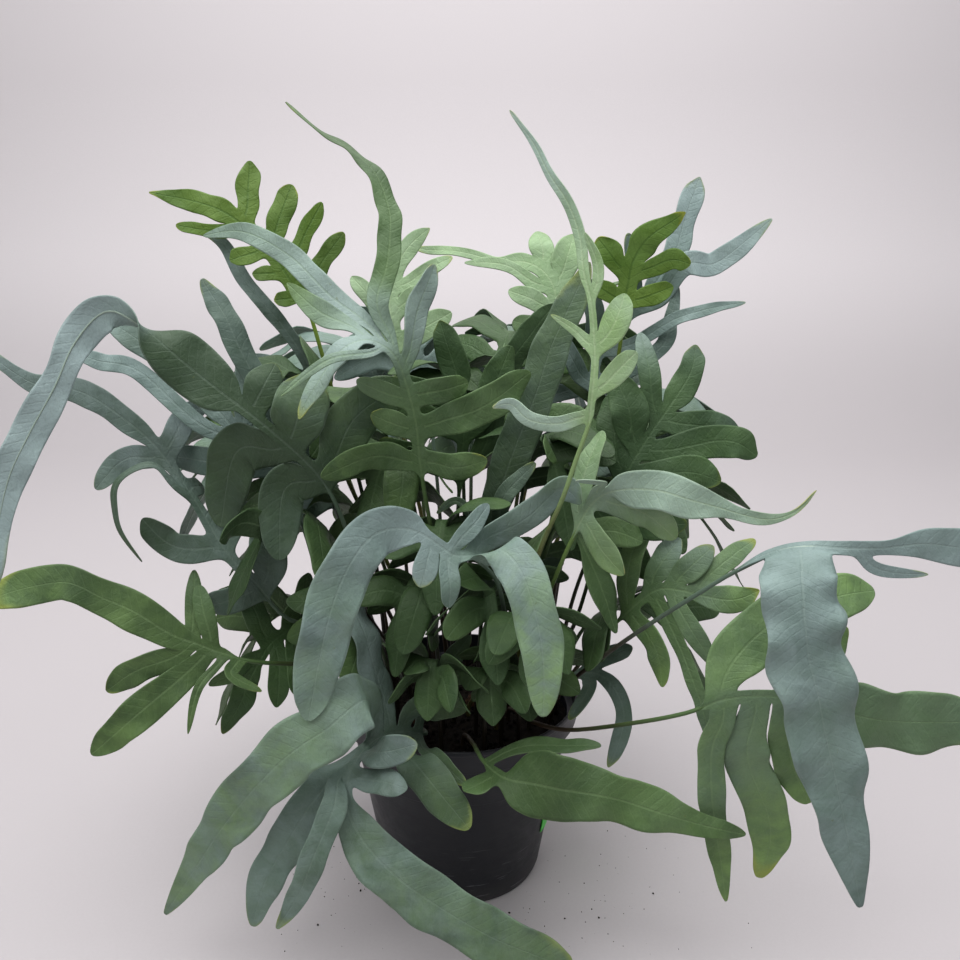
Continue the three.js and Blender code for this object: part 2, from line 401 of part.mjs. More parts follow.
// ---- fronds at the back and inside, laid out by rule ---------------------------------------
// Each row: name, tint, root x and y, heading in degrees from +X, reach, highest point, height of the tip.
const BACK_FRONDS = [
  ["frond_back_1", "grey", -44, 20, 158, 122, 225, 150],
  ["frond_back_2", "green", -38, 31, 140, 150, 236, 140],
  ["frond_back_3", "blue", -27, 40, 122, 140, 262, 176],
  ["frond_back_4", "green", -16, 45, 106, 158, 228, 108],
  ["frond_back_5", "grey", 4, 48, 92, 165, 258, 140],
  ["frond_back_6", "dark", 10, 39, 76, 112, 268, 214],
  ["frond_back_7", "blue", 25, 42, 62, 158, 244, 128],
  ["frond_back_8", "green", 40, 28, 44, 132, 232, 128],
  ["frond_back_9", "grey", 45, 17, 24, 96, 244, 196],
  ["frond_back_10", "dark", 48, 5, 4, 98, 206, 146],
  ["frond_back_11", "blue", -8, 33, 128, 82, 268, 228],
  ["frond_back_12", "green", 22, 30, 40, 86, 272, 232],
  ["frond_inner_1", "dark", -15, 20, 186, 74, 248, 205],
  ["frond_inner_2", "dark", 3, 31, 262, 44, 262, 242],
  ["frond_inner_3", "green", -49, -3, 200, 74, 150, 92],
  ["frond_inner_4", "dark", 8, -27, 284, 48, 176, 142],
  ["frond_inner_5", "dark", -8, -24, 242, 44, 178, 140],
  ["frond_inner_6", "dark", 48, -7, 330, 84, 160, 108],
  ["frond_inner_7", "dark", -31, -9, 214, 72, 216, 176],
  ["frond_inner_8", "dark", -15, 8, 240, 66, 232, 186],
  ["frond_inner_9", "dark", -3, -15, 262, 46, 204, 168],
  ["frond_inner_10", "dark", 25, 15, 292, 62, 236, 190],
  ["frond_inner_11", "green", 36, -12, 308, 58, 198, 152],
  ["frond_inner_12", "dark", -31, -24, 226, 50, 158, 116],
  ["frond_inner_13", "green", 43, 9, 344, 66, 228, 188],
  ["frond_inner_14", "dark", -37, 3, 196, 92, 262, 214],
  ["frond_inner_15", "dark", -27, 13, 182, 88, 206, 160],
  ["frond_inner_16", "dark", 20, -35, 292, 40, 168, 138],
  ["frond_inner_17", "dark", -8, -46, 256, 24, 146, 122],
  ["frond_inner_18", "dark", 12, -46, 276, 24, 142, 120],
  ["frond_inner_19", "dark", 28, -38, 284, 22, 138, 116],
];
const RULE_STEPS = 7;
// Pairs of lobes: place on the path, length, width.
const BACK_LOBES = [[2.2, 48, 16], [3.1, 60, 15], [3.9, 58, 16], [4.6, 50, 15], [5.2, 36, 12]];
const INNER_LOBES = [[2.5, 44, 14], [3.3, 54, 17], [4.2, 52, 18], [5.1, 40, 16]];

function ruled([name, tint, x, y, heading, reach, top, tipHeight]) {
  const angle = (heading * Math.PI) / 180;
  const out = [Math.cos(angle), Math.sin(angle), 0];
  const left = [-out[1], out[0], 0];
  const crest = 0.62;
  const at = (s) => {
    const u = s / RULE_STEPS;
    const height =
      u < crest
        ? STALK_START + (top - STALK_START) * (1 - (1 - u / crest) ** 2)
        : top - (top - tipHeight) * ((u - crest) / (1 - crest)) ** 1.6;
    const bow = 0.05 * reach * Math.sin(2.4 * u + x);
    const sideways = plus(times(out, reach * (0.15 * u + 0.85 * u ** 1.5)), times(left, bow * u));
    return plus([x, y, height], sideways);
  };
  const path = [];
  for (let k = 1; k <= RULE_STEPS; k += 1) path.push(at(k));
  const size = 0.55 + reach / 330;
  const lobe = (s, long, w, side, k) => {
    const p = at(s);
    const rise = 0.12 + 0.1 * Math.sin(3 * k + x);
    const aim = unit(plus(plus(times(left, side), times(out, 0.55)), [0, 0, rise]));
    const far = long * size;
    return {
      to: plus(plus(p, times(aim, far)), [0, 0, -0.28 * far]),
      by: [plus(plus(p, times(aim, 0.5 * far)), [0, 0, 0.05 * far])],
      w: w * (0.7 + 0.3 * size),
    };
  };
  const pairs = name.includes("inner") ? INNER_LOBES : BACK_LOBES;
  const slots = pairs.map(([s, long, w], k) => [
    s,
    10,
    lobe(s, long, w, 1, k),
    lobe(s + 0.05, long * 0.94, w, -1, k + 2),
  ]);
  const wide = [[5.6, 10], [6.1, 17], [6.7, 11]];
  return { name, tint, root: [x, y], path, blade: 2.2, end: 5.6, wide, slots };
}

// ---- layout of one frond -----------------------------------------------------------------
// Turns and leans tried for a whole frond, and lifts, sweeps and lengths tried for one lobe, mildest first.
const byEffort = (list) => list.sort((p, q) => p.effort - q.effort);
const FROND_MOVES = [];
for (let turn = -14; turn <= 14; turn += 2) {
  for (let lean = -8; lean <= 8; lean += 2) {
    FROND_MOVES.push({ turn, lean, effort: Math.abs(turn) + 1.2 * Math.abs(lean) });
  }
}
byEffort(FROND_MOVES);
const LOBE_MOVES = [];
for (const [long, cost] of [[1, 0], [0.8, 3.5], [0.6, 7], [0.42, 11]]) {
  for (let lift = -48; lift <= 48; lift += 6) {
    for (let sweep = -32; sweep <= 32; sweep += 8) {
      LOBE_MOVES.push({ lift, sweep, long, effort: Math.abs(lift) / 6 + Math.abs(sweep) / 8 + cost });
    }
  }
}
byEffort(LOBE_MOVES);

// A frond record comes with world points; this turns and leans it about its root and prepares its rib.
function laidOut(frond, { turn, lean }) {
  const root = [frond.root[0], frond.root[1], STALK_START];
  const far = minus(frond.path[frond.path.length - 1], root);
  const hinge = unit([far[1], -far[0], 0]);
  const move = (p) => plus(root, spun(spun(minus(p, root), hinge, -lean), [0, 0, 1], turn));
  const path = frond.path.map(move);
  const below = [path[0][0], path[0][1], path[0][2] - 1.5 * length(minus(path[0], root))];
  const beyond = minus(times(path[path.length - 1], 2), path[path.length - 2]);
  const curve = spline([below, root, ...path, beyond]);
  const moveLobe = (lobe) => lobe && { ...lobe, to: move(lobe.to), by: (lobe.by || []).map(move) };
  const slots = frond.slots.map(([s, wide, left, right]) => {
    const half = wide / 2 / Math.max(length(curve.slope(s)), 1);
    return { s, from: s - half, to: s + half, lobes: [moveLobe(left), moveLobe(right)] };
  });
  for (let k = 1; k < slots.length; k += 1) {
    const space = 1.5 / Math.max(length(curve.slope(slots[k].s)), 1);
    const over = slots[k - 1].to + space - slots[k].from;
    if (over > 0) {
      slots[k - 1].to -= over / 2;
      slots[k].from += over / 2;
    }
  }
  // The left lobes leave on the cross side; the rib is rolled so that each pair spreads square to it.
  const free = carried(curve, squareTo([0.31, 0.95, 0], [0, 0, 1]));
  const turns = [];
  for (const slot of slots) {
    const p = curve.at(slot.s);
    const aims = slot.lobes.map((lobe) => (lobe ? unit(minus(lobe.by[0] || lobe.to, p)) : [0, 0, 0]));
    const wish = minus(aims[0], aims[1]);
    const t = unit(curve.slope(slot.s));
    const c = free(slot.s);
    let angle = turnTo(wish, c, t);
    const before = turns.length ? turns[turns.length - 1][1] : angle;
    angle -= 360 * Math.round((angle - before) / 360);
    turns.push([slot.s, angle]);
  }
  const roll = [...(frond.roll || [[0, 0]])];
  const frame = (s) => {
    const p = curve.at(s);
    const t = unit(curve.slope(s));
    const c = spun(free(s), t, stepped(turns, s) + stepped(roll, s));
    return { s, p, t, c, n: cross(t, c) };
  };
  // A frond marked "face" turns the upper side of its end lobe to the front.
  if (frond.face) {
    const { t, c } = frame((frond.end + curve.last) / 2);
    roll.push([frond.end, 0], [frond.end + 0.8, turnTo(cross(t, AWAY), c, t)]);
  }
  return { frond, root, curve, slots, frame };
}

// Half width of the rib at s: stalk, then wing, then the end lobe.
function ribHalf(frond, s) {
  if (s >= frond.end) return stepped(frond.wide, s) / 2;
  return stepped([[frond.blade, STALK_HALF], [frond.blade + 0.5, frond.wing || WING_HALF]], s);
}

const ribDepth = (frond, s) => stepped([[frond.blade, STALK_HALF], [frond.blade + 0.6, BLADE_HALF]], s);

// Rows along the rib: every slot edge, and enough between them to follow the curve.
function ribStations({ frond, curve, slots }) {
  const fixed = [0, frond.end];
  for (const slot of slots) if (slot.lobes[0] || slot.lobes[1]) fixed.push(slot.from, slot.to);
  for (const [s] of frond.wide) fixed.push(s);
  fixed.sort((p, q) => p - q);
  const edges = new Set(slots.flatMap((slot) => [slot.from, slot.to]));
  const kept = [];
  for (const s of fixed) {
    const near = kept.length && (s - kept[kept.length - 1]) * length(curve.slope(s)) < 2;
    if (near && !edges.has(s)) continue;
    if (near && !edges.has(kept[kept.length - 1]) && kept.length > 1) kept.pop();
    kept.push(s);
  }
  while (kept[kept.length - 1] > curve.last - 0.15) kept.pop();
  kept.push(curve.last);
  const stations = [kept[0]];
  for (let k = 1; k < kept.length; k += 1) {
    const [s0, s1] = [kept[k - 1], kept[k]];
    let run = 0;
    let turned = 0;
    const bits = Math.max(2, Math.ceil((s1 - s0) * FINE));
    for (let i = 0; i < bits; i += 1) {
      const [u0, u1] = [s0 + ((s1 - s0) * i) / bits, s0 + ((s1 - s0) * (i + 1)) / bits];
      run += length(minus(curve.at(u1), curve.at(u0)));
      const bend = dot(unit(curve.slope(u0)), unit(curve.slope(u1)));
      turned += (Math.acos(Math.min(1, bend)) * 180) / Math.PI;
    }
    const spacing = s1 < frond.blade ? STALK_ROW_SPACING : ROW_SPACING;
    const parts = Math.max(1, Math.round(run / spacing), Math.ceil(turned / ROW_TURN));
    for (let i = 1; i <= parts; i += 1) stations.push(s0 + ((s1 - s0) * i) / parts);
  }
  return stations;
}

// ---- sheets ------------------------------------------------------------------------------
// A leaf is an upper sheet of triangles and the same sheet below it, joined all round its edge.
class Sheet {
  constructor() {
    this.upper = [];
    this.lower = [];
    this.faces = [];
  }

  point(p, n, half) {
    this.upper.push(plus(p, times(n, half)));
    this.lower.push(minus(p, times(n, half)));
    return this.upper.length - 1;
  }

  quad(a, b, c, d) {
    this.faces.push([a, b, c], [a, c, d]);
  }

  solidArrays() {
    const count = this.upper.length;
    const open = new Map();
    for (const [a, b, c] of this.faces) {
      for (const [p, q] of [[a, b], [b, c], [c, a]]) {
        if (open.has(`${q} ${p}`)) open.delete(`${q} ${p}`);
        else open.set(`${p} ${q}`, [p, q]);
      }
    }
    const triangles = [];
    for (const [a, b, c] of this.faces) triangles.push([a, b, c], [a + count, c + count, b + count]);
    for (const [p, q] of open.values()) triangles.push([q, p, p + count], [q, p + count, q + count]);
    return { points: [...this.upper, ...this.lower], triangles };
  }
}

// A solid that can be joined, cut and measured against others, from points and triangles.
function solidFrom({ points, triangles }) {
  return new wasm.Manifold(
    new wasm.Mesh({
      numProp: 3,
      vertProperties: new Float32Array(points.flat()),
      triVerts: new Uint32Array(triangles.flat()),
    }),
  );
}

// The same from a closed three.js shape.
function solidOf(geometry) {
  geometry.deleteAttribute("normal");
  geometry.deleteAttribute("uv");
  const merged = mergeVertices(geometry, 1e-4);
  const { array } = merged.attributes.position;
  const index = [...merged.index.array];
  const points = [];
  for (let k = 0; k < array.length; k += 3) points.push([array[k], array[k + 1], array[k + 2]]);
  const triangles = [];
  for (let k = 0; k < index.length; k += 3) {
    const [a, b, c] = index.slice(k, k + 3);
    if (a !== b && b !== c && c !== a) triangles.push([a, b, c]);
  }
  return solidFrom({ points, triangles });
}

// The rib alone. Each row holds the indices of its left and right points.
function ribSheet(layout) {
  const { frond, curve, frame, root } = layout;
  const sheet = new Sheet();
  const rows = [];
  const start = frame(0);
  const foot = [root[0], root[1], STALK_FOOT];
  const addRow = (s, p, c, n, half, depth) => {
    const left = sheet.point(plus(p, times(c, half)), n, depth);
    const right = sheet.point(minus(p, times(c, half)), n, depth);
    rows.push({ s, left, right });
  };
  addRow(-1, foot, start.c, start.n, STALK_HALF, STALK_HALF);
  for (const s of ribStations(layout)) {
    const { p, c, n } = frame(s);
    if (s === curve.last) {
      const tip = sheet.point(p, n, BLADE_HALF * 0.9);
      rows.push({ s, left: tip, right: tip });
    } else addRow(s, p, c, n, ribHalf(frond, s), ribDepth(frond, s));
  }
  for (let k = 1; k < rows.length; k += 1) {
    const [low, high] = [rows[k - 1], rows[k]];
    if (high.left === high.right) sheet.faces.push([low.left, low.right, high.left]);
    else sheet.quad(low.left, low.right, high.right, high.left);
  }
  return { sheet, rows };
}

// Width of a lobe at share u of its length: it spreads from its slot, runs on and rounds off to its tip.
function lobeWidth({ lobe, run }, slotWide, u) {
  const spread = Math.min(0.4, 20 / run);
  if (u < spread) return slotWide + (lobe.w - slotWide) * Math.sin((u / spread) * (Math.PI / 2));
  const late = Math.max(0, (u - 0.4) / 0.6);
  return lobe.w * (lobe.sharp ? (1 - late ** 2.2) ** 0.62 : (1 - late ** 3.2) ** 0.5);
}

// Rows of a lobe as shares of its length, for lobes up to a length in mm, and for all longer ones.
const LOBE_ROWS = [[56, [0.34, 0.84]], [82, [0.26, 0.58, 0.88]], [112, [0.2, 0.44, 0.68, 0.9]]];
const LONG_LOBE_ROWS = [0.12, 0.26, 0.4, 0.54, 0.68, 0.81, 0.92];

// Centre line and cross direction of one lobe, lifted, swept and shortened about its base.
function lobeLine(layout, slot, side, move) {
  const lobe = slot.lobes[side];
  const out = side === 0 ? 1 : -1;
  const { p, t, c, n } = layout.frame(slot.s);
  const base = plus(p, times(c, out * ribHalf(layout.frond, slot.s)));
  const bent = (q) => {
    const lifted = spun(minus(q, base), t, out * move.lift);
    return plus(base, times(spun(lifted, n, -out * move.sweep), move.long));
  };
  const reach = length(minus(lobe.to, base));
  const arch = plus(mix(base, lobe.to, 0.5), times(n, 0.1 * reach));
  const stops = [base, ...(lobe.by.length ? lobe.by : [arch]).map(bent), bent(lobe.to)];
  if (!lobe.by.length) stops[1] = bent(arch);
  const ahead = length(minus(stops[1], base));
  const behind = minus(base, times(unit(plus(times(c, out), times(t, 0.25))), 1.5 * ahead));
  const beyond = minus(times(stops[stops.length - 1], 2), stops[stops.length - 2]);
  const curve = spline([behind, ...stops, beyond]);
  const along = carried(curve, t);
  // A lobe marked "face" turns its upper side to the front while it spreads.
  const middle = curve.last * 0.5;
  const midLine = unit(curve.slope(middle));
  const midCross = along(middle);
  const facing = turnTo(times(cross(AWAY, midLine), out), midCross, midLine);
  let run = 0;
  for (let k = 1; k <= 12; k += 1) {
    run += length(minus(curve.at((k * curve.last) / 12), curve.at(((k - 1) * curve.last) / 12)));
  }
  const frame = (u) => {
    const s = u * curve.last;
    const line = unit(curve.slope(s));
    const faced = lobe.face ? facing * smooth(Math.min(1, (u * run) / 25)) : 0;
    const turn = (lobe.twist || 0) * smooth(u) + faced;
    const w = spun(along(s), line, turn);
    return { p: curve.at(s), t: line, w, n: times(cross(w, line), out) };
  };
  return { lobe, frame, run, out };
}

// Adds one lobe to a sheet. base is the list of sheet points along the rib it grows from.
function addLobe(sheet, line, base, slotWide, phase) {
  const { lobe, frame, run, out } = line;
  const found = LOBE_ROWS.find(([most]) => run < most);
  const wave = 0.055 * lobe.w;
  let rear = base[0];
  let fore = base[base.length - 1];
  (found ? found[1] : LONG_LOBE_ROWS).forEach((u, k) => {
    const { p, w, n } = frame(u);
    const half = lobeWidth(line, slotWide, u) / 2;
    const rise = wave * Math.sin(2.1 * k + phase);
    const dip = wave * Math.sin(2.1 * k + phase + 2.2);
    const nextRear = sheet.point(plus(minus(p, times(w, half)), times(n, rise)), n, BLADE_HALF);
    const slim = u < 0.3 ? 0.78 : 1;
    const nextFore = sheet.point(plus(plus(p, times(w, half * slim)), times(n, dip)), n, BLADE_HALF);
    const faces = [];
    if (k === 0) {
      const middle = Math.floor((base.length - 1) / 2);
      for (let i = 0; i < middle; i += 1) faces.push([base[i], base[i + 1], nextRear]);
      faces.push([base[middle], nextFore, nextRear]);
      for (let i = middle; i < base.length - 1; i += 1) faces.push([base[i], base[i + 1], nextFore]);
    } else faces.push([rear, fore, nextFore], [rear, nextFore, nextRear]);
    for (const [a, b, c] of faces) sheet.faces.push(out > 0 ? [a, b, c] : [a, c, b]);
    rear = nextRear;
    fore = nextFore;
  });
  const end = frame(1);
  const tip = sheet.point(end.p, end.n, BLADE_HALF * 0.9);
  sheet.faces.push(out > 0 ? [rear, fore, tip] : [rear, tip, fore]);
}

// The same lobe as a body of its own, to test what it would touch: whole, from its stretch of rib, or without
// the first part, which is meant to touch the rib.
function lobeBody(line, rib, rows, slotWide, phase) {
  const sheet = new Sheet();
  const base = rows.map((k) => {
    sheet.upper.push(rib.upper[k]);
    sheet.lower.push(rib.lower[k]);
    return sheet.upper.length - 1;
  });
  addLobe(sheet, line, base, slotWide, phase);
  return solidFrom(sheet.solidArrays());
}

function lobeBeyondRib(line, slotWide, phase) {
  const sheet = new Sheet();
  const { p, w, n } = line.frame(OWN_START);
  const half = lobeWidth(line, slotWide, OWN_START) / 2;
  const base = [sheet.point(minus(p, times(w, half)), n, BLADE_HALF)];
  base.push(sheet.point(plus(p, times(w, half * 0.78)), n, BLADE_HALF));
  addLobe(sheet, line, base, slotWide, phase);
  return solidFrom(sheet.solidArrays());
}

// ---- keeping clear -----------------------------------------------------------------------
const placed = [];

function place(name, whole, beyond) {
  placed.push({ name, whole, beyond, box: whole.boundingBox() });
}

// True when the body keeps its space from everything placed. Beyond is the part held clear of its own frond.
function isClear(name, whole, beyond) {
  const box = whole.boundingBox();
  for (const other of placed) {
    const own = other.name === name;
    const gap = own ? OWN_GAP : NODE_GAP;
    const apart = [0, 1, 2].some(
      (i) => box.min[i] - gap > other.box.max[i] || other.box.min[i] - gap > box.max[i],
    );
    if (apart) continue;
    const space = own ? beyond.minGap(other.beyond, gap) : whole.minGap(other.whole, gap);
    if (space < gap) return false;
  }
  return true;
}

// ---- pot, plain sticker, soil and rhizomes -----------------------------------------------
const WALL_SLOPE = (POT_SHOULDER_RADIUS - POT_FOOT_RADIUS) / (POT_HEIGHT - LIP_DEPTH);
const wallRadius = (z) => POT_FOOT_RADIUS + WALL_SLOPE * z;

// A solid turned about the Z axis from (radius, height) corners, listed from the axis round to the axis.
function turnedSolid(corners, segments) {
  const shape = new THREE.LatheGeometry(corners.map(([r, z]) => new THREE.Vector2(r, z)), segments);
  return solidOf(shape.rotateX(Math.PI / 2));
}

function makePot() {
  const shoulder = POT_HEIGHT - LIP_DEPTH;
  const shelf = shoulder + LIP_WALL;
  const lipIn = LIP_RADIUS - LIP_WALL;
  const body = turnedSolid(
    [
      [0, 0],
      [POT_FOOT_RADIUS - FOOT_CHAMFER, 0],
      [wallRadius(FOOT_CHAMFER), FOOT_CHAMFER],
      [POT_SHOULDER_RADIUS, shoulder],
      [LIP_RADIUS - LIP_EDGE, shoulder],
      [LIP_RADIUS, POT_HEIGHT - LIP_EDGE],
      [LIP_RADIUS - LIP_EDGE, POT_HEIGHT],
      [lipIn, POT_HEIGHT],
      [lipIn - LIP_EDGE, shelf],
      [POT_SHOULDER_RADIUS - POT_WALL, shelf],
      [wallRadius(POT_FLOOR) - POT_WALL, POT_FLOOR],
      [0, POT_FLOOR],
    ],
    POT_SEGMENTS,
  );
  let pot = body;
  for (let k = 0; k < DRAIN_COUNT; k += 1) {
    const angle = (2 * Math.PI * (k + 0.5)) / DRAIN_COUNT;
    const drill = new THREE.CylinderGeometry(DRAIN_RADIUS, DRAIN_RADIUS, POT_FLOOR + 4, 12);
    drill.rotateX(Math.PI / 2);
    drill.translate(DRAIN_RING * Math.cos(angle), DRAIN_RING * Math.sin(angle), 0);
    pot = pot.subtract(solidOf(drill));
  }
  return pot;
}

// A thin plain plate bent round the wall, low on the right-hand side and a little askew.
function makeSticker() {
  const [from, to, low, high, askew, thick] = [-28, 8, 26, 42, 5, 0.4];
  const steps = 5;
  const points = [];
  const triangles = [];
  for (let k = 0; k <= steps; k += 1) {
    const angle = ((from + ((to - from) * k) / steps) * Math.PI) / 180;
    const drop = askew * (k / steps - 0.5);
    for (const [z, out] of [[low, 0], [high, 0], [high, thick], [low, thick]]) {
      const r = wallRadius(z - drop) + CLEARANCE + out;
      points.push([r * Math.cos(angle), r * Math.sin(angle), z - drop]);
    }
    if (k === 0) continue;
    for (let i = 0; i < 4; i += 1) {
      const j = (i + 1) % 4;
      const [a, b, c, d] = [4 * k - 4 + i, 4 * k - 4 + j, 4 * k + j, 4 * k + i];
      triangles.push([a, b, c], [a, c, d]);
    }
  }
  const end = 4 * steps;
  triangles.push([0, 2, 1], [0, 3, 2], [end, end + 1, end + 2], [end, end + 2, end + 3]);
  return solidFrom({ points, triangles });
}

// A stout creeping stem: an eight-sided tube along a curve, domed at both ends.
function makeRhizome(stops, radius) {
  const first = minus(times(stops[0], 2), stops[1]);
  const final = minus(times(stops[stops.length - 1], 2), stops[stops.length - 2]);
  const curve = spline([first, ...stops, final]);
  const across = carried(curve, squareTo([0, 0, 1], unit(curve.slope(0))));
  const rings = [[0, 0.55], [0.12, 0.9], [0.5, 1], [1, 0.93], [1.5, 1.02], [2, 0.94], [2.5, 1]];
  const kept = rings.filter(([s]) => s < curve.last - 0.3);
  kept.push([curve.last - 0.12, 0.88], [curve.last, 0.5]);
  const points = [];
  const triangles = [];
  kept.forEach(([s, swell], k) => {
    const t = unit(curve.slope(s));
    const c = across(s);
    for (let i = 0; i < 8; i += 1) points.push(plus(curve.at(s), times(spun(c, t, 45 * i), radius * swell)));
    if (k === 0) return;
    for (let i = 0; i < 8; i += 1) {
      const j = (i + 1) % 8;
      const [a, b, p, q] = [8 * k - 8 + i, 8 * k - 8 + j, 8 * k + j, 8 * k + i];
      triangles.push([a, b, p], [a, p, q]);
    }
  });
  const end = points.length - 8;
  for (let i = 1; i < 7; i += 1) triangles.push([0, i + 1, i], [end, end + i, end + i + 1]);
  return solidFrom({ points, triangles });
}

// Soil: a plug that fills the pot, with a low uneven top, a bed for each rhizome and a hole for each stalk.
function makeSoil(beds, layouts) {
  const rings = [54, 42, 26, 11];
  const sectors = 16;
  const inner = (z) => wallRadius(z) - POT_WALL - CLEARANCE;
  const bottom = POT_FLOOR + CLEARANCE;
  const points = [[0, 0, bottom]];
  const triangles = [];
  const ring = (radius, height) => {
    for (let k = 0; k < sectors; k += 1) {
      const angle = (2 * Math.PI * k) / sectors;
      points.push([radius * Math.cos(angle), radius * Math.sin(angle), height(k)]);
    }
  };
  ring(inner(bottom), () => bottom);
  rings.forEach((radius, r) => {
    const uneven = (k) => 1.1 * Math.sin(2.4 * k + 2.3 * r) + 0.9 * Math.sin(k - 1.4 * r);
    if (r === 0) ring(inner(SOIL_TOP - 3), () => SOIL_TOP - 3);
    else ring(radius, (k) => SOIL_TOP - 1.2 + uneven(k));
  });
  points.push([0, 0, SOIL_TOP - 1]);
  const at = (r, k) => 1 + r * sectors + (k % sectors);
  for (let k = 0; k < sectors; k += 1) {
    triangles.push([0, at(0, k + 1), at(0, k)]);
    for (let r = 0; r < rings.length; r += 1) {
      const [a, b, c, d] = [at(r, k), at(r, k + 1), at(r + 1, k + 1), at(r + 1, k)];
      triangles.push([a, b, c], [a, c, d]);
    }
    triangles.push([at(rings.length, k), at(rings.length, k + 1), points.length - 1]);
  }
  let soil = solidFrom({ points, triangles });
  for (const bed of beds) soil = soil.subtract(bed);
  const side = 2 * (STALK_HALF + CLEARANCE);
  for (const { root, frame } of layouts) {
    const { c } = frame(0);
    const drill = new THREE.BoxGeometry(side, side, 2 * HOLE_DEPTH);
    drill.rotateZ(Math.atan2(c[1], c[0]));
    drill.translate(root[0], root[1], SOIL_TOP);
    soil = soil.subtract(solidOf(drill));
  }
  return soil;
}

// ---- materials ---------------------------------------------------------------------------
const leafMaterial = (name, color) => {
  const material = new THREE.MeshStandardMaterial({ color, roughness: 0.7, side: THREE.DoubleSide });
  material.name = name;
  return material;
};
const TINTS = {
  blue: leafMaterial("leaf_blue", 0x7f9c93),
  grey: leafMaterial("leaf_grey_blue", 0x6b887d),
  green: leafMaterial("leaf_green", 0x557f57),
  dark: leafMaterial("leaf_dark_green", 0x3a5a44),
  young: leafMaterial("leaf_yellow_green", 0x6f9a3a),
  pale: leafMaterial("leaf_pale_green", 0x86a878),
  light: leafMaterial("leaf_light_green", 0x7d9f62),
};
const potMaterial = new THREE.MeshStandardMaterial({ color: 0x26282c, roughness: 0.45 });
potMaterial.name = "pot_black_plastic";
const stickerMaterial = new THREE.MeshStandardMaterial({ color: 0x3f8f3a, roughness: 0.5 });
stickerMaterial.name = "sticker_green";
const soilMaterial = new THREE.MeshStandardMaterial({ color: 0x2a2019, roughness: 1 });
soilMaterial.name = "soil";
const rhizomeMaterial = new THREE.MeshStandardMaterial({ color: 0x5a3a22, roughness: 0.9 });
rhizomeMaterial.name = "rhizome_brown";

// ---- assembly ----------------------------------------------------------------------------
const plant = new THREE.Group();
plant.name = "blue_star_fern";

function addMesh(name, { points, triangles }, material) {
  const geometry = new THREE.BufferGeometry();
  geometry.setAttribute("position", new THREE.Float32BufferAttribute(points.flat(), 3));
  geometry.setIndex(triangles.flat());
  const mesh = new THREE.Mesh(geometry, material);
  mesh.name = name;
  plant.add(mesh);
}

function addSolid(name, solid, material) {
  const { numProp, vertProperties, triVerts } = solid.getMesh();
  const points = [];
  for (let k = 0; k < vertProperties.length; k += numProp) points.push([...vertProperties.slice(k, k + 3)]);
  const triangles = [];
  for (let k = 0; k < triVerts.length; k += 3) triangles.push([...triVerts.slice(k, k + 3)]);
  addMesh(name, { points, triangles }, material);
}

const pot = makePot();
const sticker = makeSticker();
const RHIZOMES = [
  { name: "rhizome_east", stops: [[3, 4, 88], [13, 2, 90], [24, 4, 90], [33, 10, 88]], radius: 4.6 },
  { name: "rhizome_west", stops: [[-9, -9, 88], [-19, -10, 90], [-29, -17, 88]], radius: 4 },
];
const rhizomes = RHIZOMES.map(({ stops, radius }) => makeRhizome(stops, radius));
const beds = RHIZOMES.map(({ stops, radius }) => makeRhizome(stops, radius + CLEARANCE * 1.2));

place("pot", pot, pot);
place("sticker", sticker, sticker);
rhizomes.forEach((body, k) => place(RHIZOMES[k].name, body, body));
// Nothing but stalks goes below these two: the soil's surface, and a low layer over the ground.
const brim = [POT_SHOULDER_RADIUS - POT_WALL, SOIL_TOP + 1];
const soilSpace = turnedSolid([[0, 60], [50, 60], brim, [0, SOIL_TOP + 1]], POT_SEGMENTS);
place("soil", soilSpace, soilSpace);
const ground = solidOf(new THREE.BoxGeometry(900, 900, 20).translate(0, 0, 2));
place("ground", ground, ground);

const fronds = [...FRONDS.map(onSheet), ...BACK_FRONDS.map(ruled)];
const layouts = [];
for (const frond of fronds) {
  let done = false;
  for (const move of FROND_MOVES) {
    const layout = laidOut(frond, move);
    const rib = ribSheet(layout);
    const whole = solidFrom(rib.sheet.solidArrays());
    const above = whole.trimByPlane([0, 0, 1], STALK_START - 0.2);
    if (!isClear(frond.name, above, above)) continue;
    place(frond.name, above, above);
    layouts.push({ ...layout, rib, move });
    done = true;
    break;
  }
  if (!done) throw new Error(`${frond.name} has no clear place`);
}

for (const layout of layouts) {
  const { frond, slots, rib } = layout;
  slots.forEach((slot, k) => {
    const slotWide = length(minus(layout.curve.at(slot.to), layout.curve.at(slot.from)));
    const inSlot = rib.rows.filter(({ s }) => s > slot.from - 1e-6 && s < slot.to + 1e-6);
    slot.lobes.forEach((lobe, side) => {
      if (!lobe) return;
      const phase = 1.7 * k + 2.9 * side;
      const base = inSlot.map((row) => (side === 0 ? row.left : row.right));
      for (const move of LOBE_MOVES) {
        const line = lobeLine(layout, slot, side, move);
        const whole = lobeBody(line, rib.sheet, base, slotWide, phase);
        const beyond = lobeBeyondRib(line, slotWide, phase);
        if (!isClear(frond.name, whole, beyond)) continue;
        place(frond.name, whole, beyond);
        addLobe(rib.sheet, line, base, slotWide, phase);
        break;
      }
    });
  });
  addMesh(frond.name, rib.sheet.solidArrays(), TINTS[frond.tint]);
}

addSolid("pot", pot, potMaterial);
addSolid("pot_sticker", sticker, stickerMaterial);
rhizomes.forEach((body, k) => addSolid(RHIZOMES[k].name, body, rhizomeMaterial));
addSolid("soil", makeSoil(beds, layouts), soilMaterial);

export default plant;
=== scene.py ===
import math
import random

import bpy
import numpy as np
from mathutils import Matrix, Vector, noise


